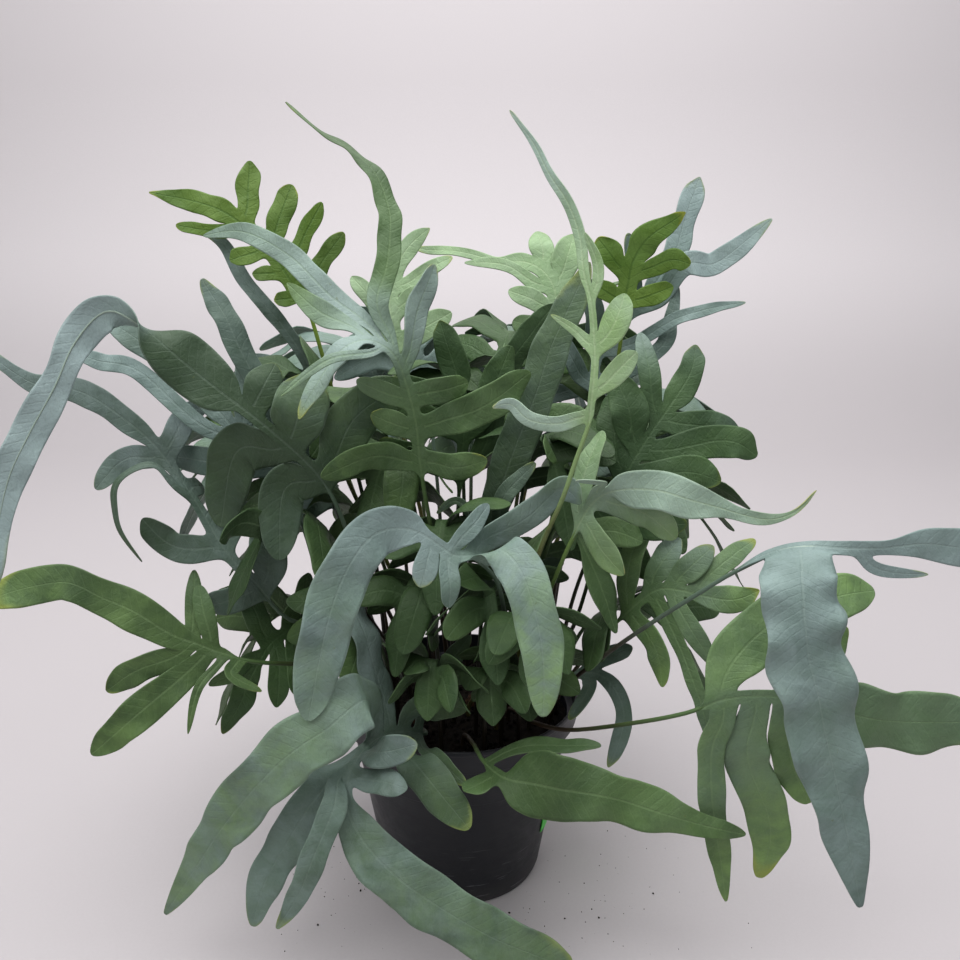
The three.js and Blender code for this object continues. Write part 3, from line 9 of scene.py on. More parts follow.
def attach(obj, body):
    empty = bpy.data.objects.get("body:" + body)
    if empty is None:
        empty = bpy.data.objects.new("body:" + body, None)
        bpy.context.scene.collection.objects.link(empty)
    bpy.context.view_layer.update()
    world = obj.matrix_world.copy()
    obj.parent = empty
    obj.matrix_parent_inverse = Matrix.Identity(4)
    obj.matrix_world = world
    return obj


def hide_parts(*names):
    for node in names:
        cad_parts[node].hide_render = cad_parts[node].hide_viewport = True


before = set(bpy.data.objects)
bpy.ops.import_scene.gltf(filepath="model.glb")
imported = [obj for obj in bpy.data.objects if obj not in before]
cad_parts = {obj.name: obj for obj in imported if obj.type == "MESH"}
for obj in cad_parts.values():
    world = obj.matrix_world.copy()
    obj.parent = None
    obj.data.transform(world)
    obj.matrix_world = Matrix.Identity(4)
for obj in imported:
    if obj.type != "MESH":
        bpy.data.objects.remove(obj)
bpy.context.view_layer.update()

MM = 0.001
CIRCLE = 2 * math.pi
UP = np.array([0, 0, 1.0])
# ---- sizes shared with the solids, mm ------------------------------------------------------
POT_HEIGHT = 100
POT_FOOT_RADIUS = 41
POT_SHOULDER_RADIUS = 55.5  # the wall where it meets the lip
LIP_RADIUS = 60
LIP_DEPTH = 12
POT_WALL = 1.2
LIP_WALL = 1.5
DRAIN_RADIUS = 4
DRAIN_RING = 26
DRAIN_COUNT = 6
SOIL_TOP = 89
STALK_START = SOIL_TOP + 2.5
STALK_HALF = 1.15
WING_HALF = 2.6  # half the leafy rib between lobes, for a frond with no wing of its own
WING_GROWS = 0.5  # path points over which a stalk widens into that rib
SLOT_GAP = 1.5  # least space between two slots along a rib
FACING_RUN = 25  # over which a lobe turns its face to the front
FACING_STEPS = 0.8  # path points over which an end lobe does
ROOT_STEER = 1.5  # how far below the first path point the curve comes from, as a share of its first step
LOBE_STEER = 1.5  # how far behind its base a lobe's curve comes from, in the same way
LOBE_AHEAD = 0.25  # how much that comes from along the rib
LOBE_ARCH = 0.1  # rise of a lobe with no points between, as a share of its reach
FIRST_ACROSS = np.array([0.31, 0.95, 0])  # any direction across a frond's start
TIP_HALF = 0.36  # half the thickness of a solid leaf at its tip
TIP_NEAR, TIP_MIDDLE = 0.05, 0.03  # how closely a corner and a middle must lie to a tip to match it
FINE = 10  # samples per path point when a cross direction is carried along a curve
# The front elevation that the fronds are laid out on: an upright sheet seen from the eye.
EYE = np.array([10.0, -436.0, 347.0])
SHEET = 480  # from the eye to the sheet
LOOK_DOWN = math.radians(17.4)
AWAY = np.array([0, math.cos(LOOK_DOWN), -math.sin(LOOK_DOWN)])
UPWARD = np.array([0, math.sin(LOOK_DOWN), math.cos(LOOK_DOWN)])
# ---- sizes of the fine leaves, mm ----------------------------------------------------------
LEAF_THICKNESS = 0.45
COLUMNS = [-1, -0.5, 0, 0.5, 1]  # across a blade, as shares of its half width
FRONT_ROWS = 5  # spacing of the control rows along a blade
BACK_ROWS = 9
END_TIP_ROWS = (0.3, 0.55, 0.75, 0.9, 0.97)  # shares of the taper of an end lobe
LOBE_BODY = 0.86  # share of a lobe with evenly spaced rows
LOBE_TIP_ROWS = [0.92, 0.965, 0.992]
LOBE_TAPER = 0.4  # share of a lobe from which it narrows
LOBE_SPREAD = 20  # over which a lobe widens from its slot
LEAST_END = 0.6  # path points between the ramp or the taper and the end of a blade
FULL_AFTER = 0.2  # path points past its start at which an end lobe has its full width
WIDTH_BLUR = (-0.3, -0.15, 0, 0.15, 0.3)  # path points over which the width is evened out
THIN_WING = 0.35  # half the wing where it starts on the stalk
WING_EDGE, SLOT_EDGE = 0.3, 0.4  # share of the way to a margin that a wing's and a slot's edge count as
GROOVE = 0.3  # depth of the furrow over the midrib, where the blade is GROOVE_FULL mm to either side
GROOVE_FULL = 5
TIP_BEND = 0.35  # how far the margins lag behind the middle in a tip, as a share of the half width
TUBE_SIDES = 8
TUBE_STEP = 5  # between rings of a stalk
TUBE_RADII = (1.15, 0.9, 0.5, 0.15)  # at the soil, the start of the blade, the end lobe and the tip
TUBE_FOOT = 1.2  # its radius in the soil
TUBE_SHOWS = 0.1  # how far the midrib stands out under the blade


# ---- vectors -------------------------------------------------------------------------------
def unit(a):
    return a / max(float(np.linalg.norm(a)), 1e-9)


def square_to(a, axis):
    """Direction of the part of a that is square to a unit axis."""
    return unit(a - axis * float(a @ axis))


def spun(a, axis, degrees):
    """Turns one vector, or rows of them, about a unit axis."""
    angle = np.radians(degrees)
    along = (a @ axis)[..., None] * axis if np.ndim(a) > 1 else float(a @ axis) * axis
    return a * np.cos(angle) + np.cross(axis, a) * np.sin(angle) + along * (1 - np.cos(angle))


def turn_to(wish, c, axis):
    """Degrees about the axis from the direction c to the direction nearest to wish."""
    return math.degrees(math.atan2(float(wish @ np.cross(axis, c)), float(wish @ c)))


def smooth(u):
    u = min(max(u, 0.0), 1.0)
    return u * u * (3 - 2 * u)


def from_sheet(point):
    """World point of a sheet point: right and up on the sheet, and how far behind it."""
    a, b, d = point
    reach = SHEET + d
    return EYE + np.array([reach * a / SHEET, 0, 0]) + UPWARD * (reach * b / SHEET) + AWAY * reach


def stepped(steps, s):
    """Value at s in a list of (s, value) steps, straight between them."""
    return float(np.interp(s, [p for p, _ in steps], [v for _, v in steps]))


class Spline:
    """Smooth curve through points[1] .. points[-2]; the outer two only steer its ends."""

    def __init__(self, points):
        self.points = np.array(points, float)
        self.last = len(points) - 3

    def part(self, s):
        k = max(0, min(int(math.floor(s)), self.last - 1))
        return (*self.points[k : k + 4], s - k)

    def at(self, s):
        p0, p1, p2, p3, u = self.part(s)
        square = (2 * p0 - 5 * p1 + 4 * p2 - p3) * u * u
        return 0.5 * (2 * p1 + (p2 - p0) * u + square + (3 * p1 - p0 - 3 * p2 + p3) * u**3)

    def slope(self, s):
        p0, p1, p2, p3, u = self.part(s)
        square = 3 * (3 * p1 - p0 - 3 * p2 + p3) * u * u
        return 0.5 * (p2 - p0 + 2 * (2 * p0 - 5 * p1 + 4 * p2 - p3) * u + square)

    def run(self, low, high):
        """Length from low to high."""
        steps = max(2, int(math.ceil((high - low) * 6)))
        marks = np.array([self.at(low + (high - low) * k / steps) for k in range(steps + 1)])
        return float(np.linalg.norm(np.diff(marks, axis=0), axis=1).sum())


def carried(curve, first):
    """Cross direction carried along a curve without twist, starting from first."""
    marks = []
    c = first
    for k in range(curve.last * FINE + 1):
        c = square_to(c, unit(curve.slope(k / FINE)))
        marks.append(c)

    def at(s):
        k = max(0, min(int(math.floor(s * FINE)), len(marks) - 2))
        share = s * FINE - k
        return square_to(marks[k] * (1 - share) + marks[k + 1] * share, unit(curve.slope(s)))

    return at


# ---- fronds seen from the front, as in the solids -------------------------------------------
def lobe(width, *points, **more):
    """A lobe that leaves the rib and runs through sheet points to the last of them. May have a twist in
    degrees, turn its face to the front, or have a sharp tip."""
    *by, to = [from_sheet(point) for point in points]
    return {"w": width, "by": by, "to": to, **more}


def frond(name, tint, root, blade, end, path, wide, *slots, **more):
    """A frond whose rib follows the path of sheet points up from its root in the soil. Its blade starts and
    its end lobe begins at the places blade and end on the path, and wide gives the end lobe's width by place.
    Slots are (place, width along the rib, left lobe, right lobe). May have a wing, which is half the width of
    its leafy rib, a roll of (place, degrees) steps, or an end lobe that turns its face to the front."""
    path = [from_sheet(point) for point in path]
    return {"name": "frond_" + name, "tint": tint, "root": root, "blade": blade, "end": end, "path": path,
            "wide": wide, "slots": slots, **more}


FRONDS = [
    # west: long grey arches
    frond("west_arch", "grey", (-25, 2), 2.6, 4.7,
        [(-60, -60, -40), (-67, -25, -60), (-80, 1, -75), (-105, 25, -85), (-132, 46, -90), (-157, 66, -95),
         (-172, 80, -98), (-188, 84, -100), (-203, 68, -102), (-213, 46, -103), (-226, 22, -104),
         (-236, 0, -104), (-242, -30, -104), (-244, -58, -102)],
        [(4.7, 18), (5.4, 25), (6.3, 19), (7, 9), (8, 15), (9, 15), (9.7, 10), (10.5, 15), (12, 13),
         (13.2, 8)],
        (3, 14, lobe(20, (-98, 2, -70), (-109, -25, -55)), lobe(21, (-62, 32, -76), (-34, 49, -70))),
        (3.7, 14, lobe(22, (-122, 14, -74), (-130, -24, -58)), lobe(24, (-84, 54, -84))),
        (4.4, 10, None, lobe(15, (-109, 61, -84))),
        roll=[(5.8, 0), (7.6, 150)]),
    frond("west_back", "blue", (-34, 14), 1.8, 4.3,
        [(-75, -60, -26), (-90, -20, -42), (-109, 12, -52), (-124, 27, -56), (-137, 41, -58),
         (-157, 60, -60), (-174, 72, -62), (-184, 79, -62), (-193, 90, -60)],
        [(4.3, 9), (5.5, 12), (7, 12), (8, 8), (8.7, 4)],
        (2.2, 12, lobe(14, (-140, -20, -45)), lobe(13, (-86, 40, -45))),
        (2.9, 12, lobe(13, (-158, 12, -50)), lobe(11, (-128, 68, -50), (-150, 94, -48))),
        (3.8, 9, lobe(8, (-165, 60, -62), (-186, 68, -64), (-203, 78, -62), sharp=True),
            lobe(9, (-118, 66, -46)))),
    frond("west_mid", "grey", (-40, -6), 2.4, 7.1,
        [(-64, -78, -14), (-95, -70, -40), (-112, -52, -50), (-127, -36, -55), (-141, -13, -58),
         (-154, 6, -60), (-165, 20, -62), (-185, 36, -64), (-202, 45, -66), (-223, 48, -68),
         (-240, 59, -70), (-247, 64, -70)],
        [(7.1, 9), (8, 11), (9.5, 11), (10.5, 6), (11.5, 5)],
        (2.9, 12, lobe(13, (-140, -64, -46)), lobe(17, (-103, -12, -52))),
        (4.2, 12, lobe(13, (-154, -33, -58), (-169, -19, -60)), lobe(13, (-122, 22, -48))),
        (5.4, 9, lobe(4, (-163, 8, -70), (-182, -2, -76), (-182, -22, -76), (-168, -41, -70), sharp=True),
            lobe(9, (-138, -3, -46))),
        (6.5, 10, lobe(11, (-178, 15, -62), (-196, 4, -64)), lobe(11, (-148, 32, -62), (-137, 38, -60)))),
    frond("west_strap", "grey", (-26, 24), 1.6, 3.2,
        [(-70, -20, 0), (-78, 30, -14), (-85, 56, -20), (-97, 75, -24), (-107, 87, -28), (-118, 100, -30),
         (-128, 118, -32), (-139, 124, -34)],
        [(3.2, 6), (4.5, 7), (6, 7), (7.2, 6), (7.7, 3)],
        (2.1, 11, lobe(12, (-112, 28, -20)), lobe(11, (-58, 62, -10))),
        (2.8, 8, lobe(9, (-116, 62, -24)), None)),
    # west: young yellow-green frond on a dark stalk
    frond("young_west", "young", (-20, 32), 4.4, 8.9,
        [(-68, 5, 0), (-73, 40, -15), (-79, 63, -22), (-86, 86, -28), (-90, 92, -30), (-97, 103, -32),
         (-105, 115, -34), (-117, 126, -36), (-128, 134, -38), (-145, 140, -40), (-166, 144, -42)],
        [(8.9, 11), (9.6, 12), (10.3, 9), (10.8, 4)],
        (5.1, 7, lobe(7, (-103, 90, -34)), lobe(9, (-79, 109, -28), (-68, 124, -26))),
        (6.2, 7, lobe(7, (-114, 103, -36)), lobe(8, (-88, 122, -30), (-79, 139, -28))),
        (7.2, 8, lobe(9, (-126, 118, -38)), lobe(11, (-100, 132, -32), (-94, 148, -30))),
        (8.3, 8, lobe(6, (-138, 129, -40), (-151, 135, -42)), lobe(11, (-116, 145, -34), (-115, 160, -32))),
        wing=4),
    # south-west: low fronds near the ground
    frond("south_west", "green", (-38, -14), 3.4, 5.6,
        [(-70, -94, -20), (-92, -92, -40), (-112, -91, -55), (-128, -87, -60), (-141, -82, -62),
         (-155, -77, -64), (-172, -66, -66), (-189, -59, -68), (-200, -53, -68), (-210, -51, -68),
         (-228, -54, -68), (-240, -58, -68), (-247, -62, -68)],
        [(5.6, 11), (7, 18), (8.5, 14), (10, 16), (11.5, 16), (12.5, 9)],
        (3.5, 7, lobe(7, (-125, -98, -68), (-109, -106, -66), sharp=True), None),
        (4, 5, lobe(4, (-141, -104, -72), (-146, -127, -72), sharp=True), None),
        (4.6, 9, lobe(15, (-170, -116, -66), (-195, -138, -66)), lobe(9, (-141, -52, -60))),
        (5.3, 9, lobe(12, (-174, -89, -64), (-194, -97, -64)), lobe(7, (-152, -45, -58)))),
    frond("dark_west", "dark", (-44, 8), 1.6, 4.6,
        [(-80, -62, -14), (-92, -73, -25), (-103, -80, -32), (-109, -88, -35), (-115, -100, -37),
         (-120, -113, -38), (-129, -127, -38)],
        [(4.6, 9), (5.6, 14), (6.6, 9)],
        (2.2, 10, lobe(11, (-92, -108, -36)), lobe(13, (-86, -46, -34))),
        (3.2, 10, lobe(10, (-100, -114, -42)), lobe(12, (-118, -54, -46))),
        (4.1, 8, None, lobe(9, (-134, -106, -48)))),
    frond("south_west_low", "grey", (-20, -28), 1.1, 5.4,
        [(-27, -127, -30), (-42, -126, -50), (-55, -132, -64), (-64, -144, -75), (-67, -160, -82),
         (-60, -178, -84), (-42, -198, -84), (-20, -214, -82), (5, -228, -78), (33, -240, -74),
         (48, -248, -72)],
        [(5.4, 12), (6.5, 22), (8, 23), (9.5, 21), (10.5, 12)],
        (1.35, 6, lobe(7, (-20, -141, -60), (-5, -155, -70), face=True),
            lobe(9, (-17, -100, -46), (-1, -81, -52), face=True)),
        (1.8, 8, lobe(17, (-30, -144, -70), (-17, -160, -76), (-5, -175, -78), face=True),
            lobe(14, (-26, -113, -54), (-6, -114, -54), face=True)),
        (2.25, 8, None, lobe(15, (-46, -85, -68), (-52, -49, -72))),
        (2.85, 11, None,
            lobe(24, (-57, -110, -86), (-76, -124, -96), (-101, -142, -95), (-126, -170, -82),
                (-141, -192, -68), (-158, -218, -52), face=True, sharp=True)),
        (3.4, 10, lobe(14, (-48, -136, -84), (-31, -132, -84), face=True),
            lobe(17, (-80, -156, -80), (-97, -182, -74), (-108, -202, -68), (-114, -224, -62), face=True)),
        (4.25, 8, lobe(12, (-36, -155, -88)),
            lobe(11, (-73, -164, -90), (-83, -188, -90), (-91, -208, -86), (-102, -225, -80), face=True,
                sharp=True))),
    # middle: the crown
    frond("crown", "green", (-6, 6), 3.2, 9.1,
        [(-20, -60, -35), (-24, -28, -55), (-28, -5, -66), (-30, 9, -72), (-32, 28, -80), (-36, 45, -86),
         (-42, 61, -92), (-50, 68, -96), (-59, 70, -100), (-69, 65, -104), (-78, 55, -106), (-85, 42, -108),
         (-90, 30, -108)],
        [(9.1, 8), (10, 10), (11.5, 9), (12.5, 5)],
        (4, 10, lobe(13, (-54, 12, -82), (-80, 1, -84)), lobe(13, (-12, 6, -78), (4, 10, -78))),
        (4.9, 10, lobe(11, (-52, 38, -84)), lobe(16, (0, 36, -80), (26, 54, -78))),
        (5.8, 9, lobe(9, (-62, 50, -86)), lobe(12, (-5, 48, -84))),
        (6.7, 7, None, lobe(11, (-31, 85, -88), (-23, 108, -84))),
        (7.35, 5, None,
            lobe(10, (-52, 88, -94), (-47, 105, -90), (-45, 123, -86), (-46, 138, -82), (-53, 155, -78),
                (-66, 166, -74), (-83, 176, -72), (-98, 190, -70), twist=60, face=True, sharp=True)),
        (8, 5, lobe(4, (-80, 76, -106), (-109, 73, -104), sharp=True),
            lobe(10, (-75, 92, -90), (-95, 112, -84), (-118, 124, -80), (-139, 122, -76), face=True,
                sharp=True)),
        (8.7, 6, None, lobe(10, (-80, 84, -96), (-97, 99, -92), face=True, sharp=True))),
    frond("front", "blue", (12, -14), 2.4, 6.3,
        [(12, -85, -36), (10, -55, -66), (-1, -39, -84), (-12, -38, -90), (-20, -33, -92), (-29, -27, -94),
         (-40, -24, -97), (-54, -28, -101), (-67, -46, -104), (-76, -70, -104), (-81, -94, -102),
         (-86, -121, -98)],
        [(6.3, 13), (7.5, 19), (9, 21), (10.5, 21), (11.5, 16)],
        (3.1, 11,
            lobe(18, (8, -34, -93), (17, -40, -99), (24, -54, -103), (30, -77, -105), (32, -100, -103),
                (31.5, -119, -99), face=True), lobe(14, (22, -20, -80), (40, -5, -80), (51, -12, -80))),
        (4.3, 7, lobe(9, (-16, -64, -92)), lobe(8, (4, -12, -80))),
        (5.3, 8, lobe(11, (-30, -54, -94)), None)),
    frond("dark_centre", "dark", (-2, 22), 1.6, 4.5,
        [(-12, -40, -10), (-10, 0, -30), (-8, 25, -42), (-9, 40, -48), (-12, 55, -52), (-17, 70, -54),
         (-20, 80, -54)],
        [(4.5, 12), (5.6, 15), (6.6, 8)],
        (2.2, 12, lobe(13, (-52, 18, -34)), lobe(13, (12, 52, -42), (26, 74, -42), (38, 88, -40))),
        (3, 11, lobe(12, (-48, 46, -44)), lobe(14, (4, 50, -48), (10, 70, -50))),
        (4, 10, lobe(11, (-34, 66, -52)), None)),
    frond("grey_centre", "grey", (14, 16), 1.4, 3,
        [(5, -80, -10), (3, -50, -28), (4, -27, -42), (10, -5, -52), (19, 20, -60), (28, 43, -64),
         (35, 65, -66), (43, 83, -66), (50, 98, -64), (55, 109, -62)],
        [(3, 10), (4.5, 17), (6.5, 17), (8.5, 13), (9.5, 6)],
        (1.8, 11, lobe(13, (-36, -52, -30)), lobe(13, (42, -40, -34))),
        (2.6, 9, lobe(4, (-4, -19, -52), (-12, -10, -54), (-22, -17, -52)),
            lobe(8, (11, -10, -62), (28, 9, -64))),
        face=True),
    # middle, behind: pale light-green fronds
    frond("pale_back", "pale", (-8, 44), 1.8, 5,
        [(-40, 30, 15), (-42, 60, 12), (-44, 80, 10), (-45, 90, 10), (-42, 105, 10), (-37, 115, 10),
         (-30, 122, 10), (-25, 126, 8)],
        [(5, 9), (6, 11), (7, 8), (7.7, 4)],
        (2.4, 10, lobe(11, (-66, 84, 4)), lobe(13, (-14, 84, 6))),
        (3.5, 9, lobe(9, (-62, 104, 6)), lobe(10, (-30, 100, 4))),
        (4.5, 8, lobe(5, (-43, 130, 8)), lobe(8, (-14, 112, 4))),
        wing=4),
    frond("pale_top", "pale", (19, 44), 2.2, 5,
        [(30, 30, 20), (35, 65, 20), (38, 90, 20), (33, 103, 20), (23, 109, 20), (10, 109, 20),
         (0, 112, 20), (-12, 114, 20), (-25, 115, 20), (-34, 117, 20)],
        [(5, 11), (5.8, 7), (7, 5), (8.5, 6), (9.6, 3)],
        (2.8, 10, lobe(11, (14, 95, 14)), lobe(12, (50, 106, 24))),
        (3.6, 10, lobe(7, (12, 105, 14), (-9, 103, 12), sharp=True), lobe(16, (37, 125, 24))),
        (4.4, 9, None, lobe(14, (22, 124, 24))),
        wing=4.5),
    # tall narrow frond on an olive stalk
    frond("tall", "pale", (4, -9), 6.8, 11.6,
        [(4, -100, -8), (12, -80, -35), (23, -55, -58), (32, -30, -76), (41, -10, -88), (48, 10, -96),
         (54, 27, -102), (56, 42, -106), (57.5, 58, -108), (57, 74, -108), (55.5, 90, -108),
         (52, 104, -106), (50, 121, -104), (44, 139, -102), (34, 154, -100), (27, 168, -98), (20, 178, -96),
         (15, 185, -95)],
        [(11.6, 4), (12.5, 5), (14, 5), (15.5, 3.5), (17.4, 1.6)],
        (7.3, 5, lobe(7, (40, 28, -98), (24, 30, -94), (16, 38, -92), (6, 36, -92), sharp=True), None),
        (8.2, 6, None, lobe(9, (66, 58, -110), (72.5, 69, -112))),
        (9.6, 8, lobe(4, (50, 77, -106), (40, 88, -106), sharp=True),
            lobe(12, (66, 79, -112), (69, 95, -112))),
        (11.2, 5, None, lobe(5, (59, 107, -110), (52, 124, -110), sharp=True)),
        wing=1.5),
    # east: young frond, blue straps
    frond("young_east", "young", (30, 36), 3.6, 6.9,
        [(60, 20, 10), (68, 55, 0), (71, 75, -8), (72, 87, -12), (74, 98, -15), (76, 108, -18),
         (80, 116, -20), (85, 122, -22), (94, 128, -24), (103, 134, -26)],
        [(6.9, 13), (7.8, 14), (8.8, 10), (9.6, 5)],
        (4.3, 9, lobe(10, (58, 100, -16)), lobe(10, (97, 97, -18))),
        (5.7, 9, lobe(12, (61, 123, -20)), lobe(10, (93, 114, -20), (104, 115, -22))),
        wing=4.6),
    frond("east_blue", "blue", (38, 22), 1.9, 5.8,
        [(55, 0, 12), (60, 40, 12), (63, 60, 12), (70, 71, 12), (84, 85, 12), (92, 95, 12), (103, 111, 12),
         (107, 124, 12), (112, 138, 12), (116, 148, 12)],
        [(5.8, 9), (7, 12), (9, 12), (9.7, 8)],
        (2.3, 9, lobe(11, (42, 74, -8)), lobe(8, (89, 66, -10), (96, 82, -10), (101, 98, -10), sharp=True)),
        (3.5, 9, lobe(11, (60, 100, -10)), lobe(7, (106, 80, -8), (138, 86, -8), sharp=True)),
        (5.2, 10, lobe(8, (80, 122, -8)),
            lobe(12, (107, 105, -2), (122, 105, -2), (137, 115, -4), (152, 127, -4), face=True,
                sharp=True)),
        face=True),
    frond("east", "dark", (40, -4), 1.7, 5.6,
        [(48, -70, -20), (60, -30, -40), (72, 0, -48), (80, 15, -50), (90, 30, -50), (99, 43, -48),
         (106, 55, -46), (108, 68, -44)],
        [(5.6, 11), (6.4, 14), (7.4, 10)],
        (2.3, 11, lobe(14, (48, 12, -36)), lobe(14, (104, -22, -58))),
        (3.2, 11, lobe(15, (70, 44, -44)), lobe(15, (105, 4, -56), (121, -1, -56))),
        (4.1, 11, lobe(17, (87, 54, -48)), lobe(15, (122, 20, -54), (139, 12, -52))),
        (5.1, 10, lobe(10, (98, 74, -44)), lobe(14, (128, 46, -46)))),
    frond("east_light", "light", (18, -22), 2.7, 4.7,
        [(20, -90, -20), (35, -55, -50), (48, -25, -70), (58, -10, -78), (70, -5, -84), (88, -5, -88),
         (105, -10, -90), (120, -14, -90), (130, -17, -90), (145, -20, -90), (158, -16, -88),
         (168, -5, -86)],
        [(4.7, 12), (5.7, 17), (7, 16), (8, 8), (9, 5), (9.8, 6), (10.6, 2.4), (11.6, 1.6)],
        (3.3, 9, lobe(12, (66, 24, -72)), lobe(13, (72, -48, -80))),
        (4.2, 10, lobe(4, (58, -1, -92), (43, -3, -92)), lobe(15, (82, -19, -84), (97, -33, -84))),
        face=True),
    frond("east_low", "green", (45, -16), 1.5, 5.1,
        [(55, -85, -20), (75, -65, -45), (88, -55, -55), (100, -55, -62), (112, -58, -66), (127, -60, -70),
         (140, -55, -72)],
        [(5.1, 10), (5.8, 13), (6.6, 8)],
        (2, 10, lobe(13, (80, -20, -48)), lobe(12, (88, -84, -58), (91, -104, -58))),
        (2.9, 9, lobe(13, (102, -30, -58)), lobe(7, (108, -104, -66), (116, -132, -64))),
        (3.8, 9, lobe(12, (120, -36, -64)), lobe(9, (118, -94, -66))),
        (4.7, 9, lobe(9, (142, -28, -68)), lobe(11, (134, -81, -68)))),
    # south-east: big near fronds
    frond("south_east", "green", (24, -12), 4.1, 7.2,
        [(26, -121, -28), (45, -125, -44), (80, -121, -80), (105, -116, -93), (121, -110, -96),
         (140, -108, -97), (160, -110, -97), (185, -117, -96), (210, -121, -94), (240, -121, -92),
         (254, -121, -90)],
        [(7.2, 18), (8, 25), (9.5, 26), (10.5, 16)],
        (5, 13, lobe(22, (132, -84, -94), (155, -66, -90), (180, -58, -86), (198, -55, -80)),
            lobe(11, (116, -134, -92), (116, -160, -86), (120, -188, -78), (123, -211, -72), sharp=True)),
        (5.9, 13, None,
            lobe(18, (134, -134, -94), (137, -150, -90), (146, -172, -85), (147, -190, -80),
                (142, -207, -76))),
        (6.7, 12, lobe(13, (179, -95, -96), (194, -88, -94)),
            lobe(16, (156, -140, -90), (166, -166, -84)))),
    frond("near_east", "blue", (34, -21), 3.4, 6.6,
        [(40, -105, -30), (73, -80, -68), (112, -55, -94), (141, -38, -108), (160, -33, -116),
         (180, -34, -118), (200, -34, -118), (222, -32, -118), (240, -34, -116), (257, -35, -112)],
        [(6.6, 6), (7.4, 6), (8.6, 16), (9.4, 15)],
        (5, 25, None,
            lobe(29, (161, -46, -129), (162, -66, -135), (165, -90, -134), (171, -118, -130),
                (178, -150, -124), (184, -180, -117), (191, -216, -108), face=True, sharp=True)),
        (6.6, 6, None, lobe(5, (203, -46, -116), (224, -47, -114), sharp=True))),
    frond("south", "green", (2, -36), 1.9, 3,
        [(-4, -131, -45), (2, -141, -62), (12, -149, -76), (27, -152, -83), (43, -155, -87),
         (60, -158, -90), (77, -162, -90), (95, -168, -90), (112, -173, -90), (133, -177, -87)],
        [(3, 18), (3.6, 25), (4.2, 29), (5, 26), (6, 22), (7, 19), (8, 16), (9.2, 8)],
        (2.1, 6, lobe(10, (22, -133, -62), (42, -132, -66), (61, -133, -66)), None),
        (2.7, 9, None, lobe(14, (-1, -153, -76), (-8, -157, -80))),
        face=True),
    frond("east_droop", "grey", (42, -22), 2, 3.6,
        [(33, -104, -12), (42, -100, -20), (55, -96, -22), (66, -102, -28), (72, -116, -32),
         (70, -130, -34), (64, -144, -36)],
        [(3.6, 7), (4.5, 8), (6, 8), (6.7, 6)],
        (3, 8, lobe(9, (78, -92, -30)), lobe(7, (54, -106, -30), (44, -120, -30)))),
]


# Fronds at the back and inside, laid out by rule. Each row: name, tint, root x and y, heading in degrees
# from +X, reach, highest point, height of the tip.
BACK_FRONDS = [
    ("back_1", "grey", -44, 20, 158, 122, 225, 150),
    ("back_2", "green", -38, 31, 140, 150, 236, 140),
    ("back_3", "blue", -27, 40, 122, 140, 262, 176),
    ("back_4", "green", -16, 45, 106, 158, 228, 108),
    ("back_5", "grey", 4, 48, 92, 165, 258, 140),
    ("back_6", "dark", 10, 39, 76, 112, 268, 214),
    ("back_7", "blue", 25, 42, 62, 158, 244, 128),
    ("back_8", "green", 40, 28, 44, 132, 232, 128),
    ("back_9", "grey", 45, 17, 24, 96, 244, 196),
    ("back_10", "dark", 48, 5, 4, 98, 206, 146),
    ("back_11", "blue", -8, 33, 128, 82, 268, 228),
    ("back_12", "green", 22, 30, 40, 86, 272, 232),
    # The inner fronds mostly take the dark tint, partly as painted shade of the crown's inside.
    ("inner_1", "dark", -15, 20, 186, 74, 248, 205),
    ("inner_2", "dark", 3, 31, 262, 44, 262, 242),
    ("inner_3", "green", -49, -3, 200, 74, 150, 92),
    ("inner_4", "dark", 8, -27, 284, 48, 176, 142),
    ("inner_5", "dark", -8, -24, 242, 44, 178, 140),
    ("inner_6", "dark", 48, -7, 330, 84, 160, 108),
    ("inner_7", "dark", -31, -9, 214, 72, 216, 176),
    ("inner_8", "dark", -15, 8, 240, 66, 232, 186),
    ("inner_9", "dark", -3, -15, 262, 46, 204, 168),
    ("inner_10", "dark", 25, 15, 292, 62, 236, 190),
    ("inner_11", "green", 36, -12, 308, 58, 198, 152),
    ("inner_12", "dark", -31, -24, 226, 50, 158, 116),
    ("inner_13", "green", 43, 9, 344, 66, 228, 188),
    ("inner_14", "dark", -37, 3, 196, 92, 262, 214),
    ("inner_15", "dark", -27, 13, 182, 88, 206, 160),
    ("inner_16", "dark", 20, -35, 292, 40, 168, 138),
    ("inner_17", "dark", -8, -46, 256, 24, 146, 122),
    ("inner_18", "dark", 12, -46, 276, 24, 142, 120),
    ("inner_19", "dark", 28, -38, 284, 22, 138, 116),
]
RULE_STEPS = 7
RULE_BLADE, RULE_END = 2.2, 5.6  # where the blade and the end lobe start on the path
RULE_WIDE = [(5.6, 10), (6.1, 17), (6.7, 11)]
RULE_SLOT = 10
CREST = 0.62  # share of the path at which the frond is highest
BOW = 0.05  # sideways, as a share of its reach
DROOP = 0.28  # of a lobe's tip, as a share of its length
# Pairs of lobes: place on the path, length, width.
BACK_LOBES = [(2.2, 48, 16), (3.1, 60, 15), (3.9, 58, 16), (4.6, 50, 15), (5.2, 36, 12)]
INNER_LOBES = [(2.5, 44, 14), (3.3, 54, 17), (4.2, 52, 18), (5.1, 40, 16)]


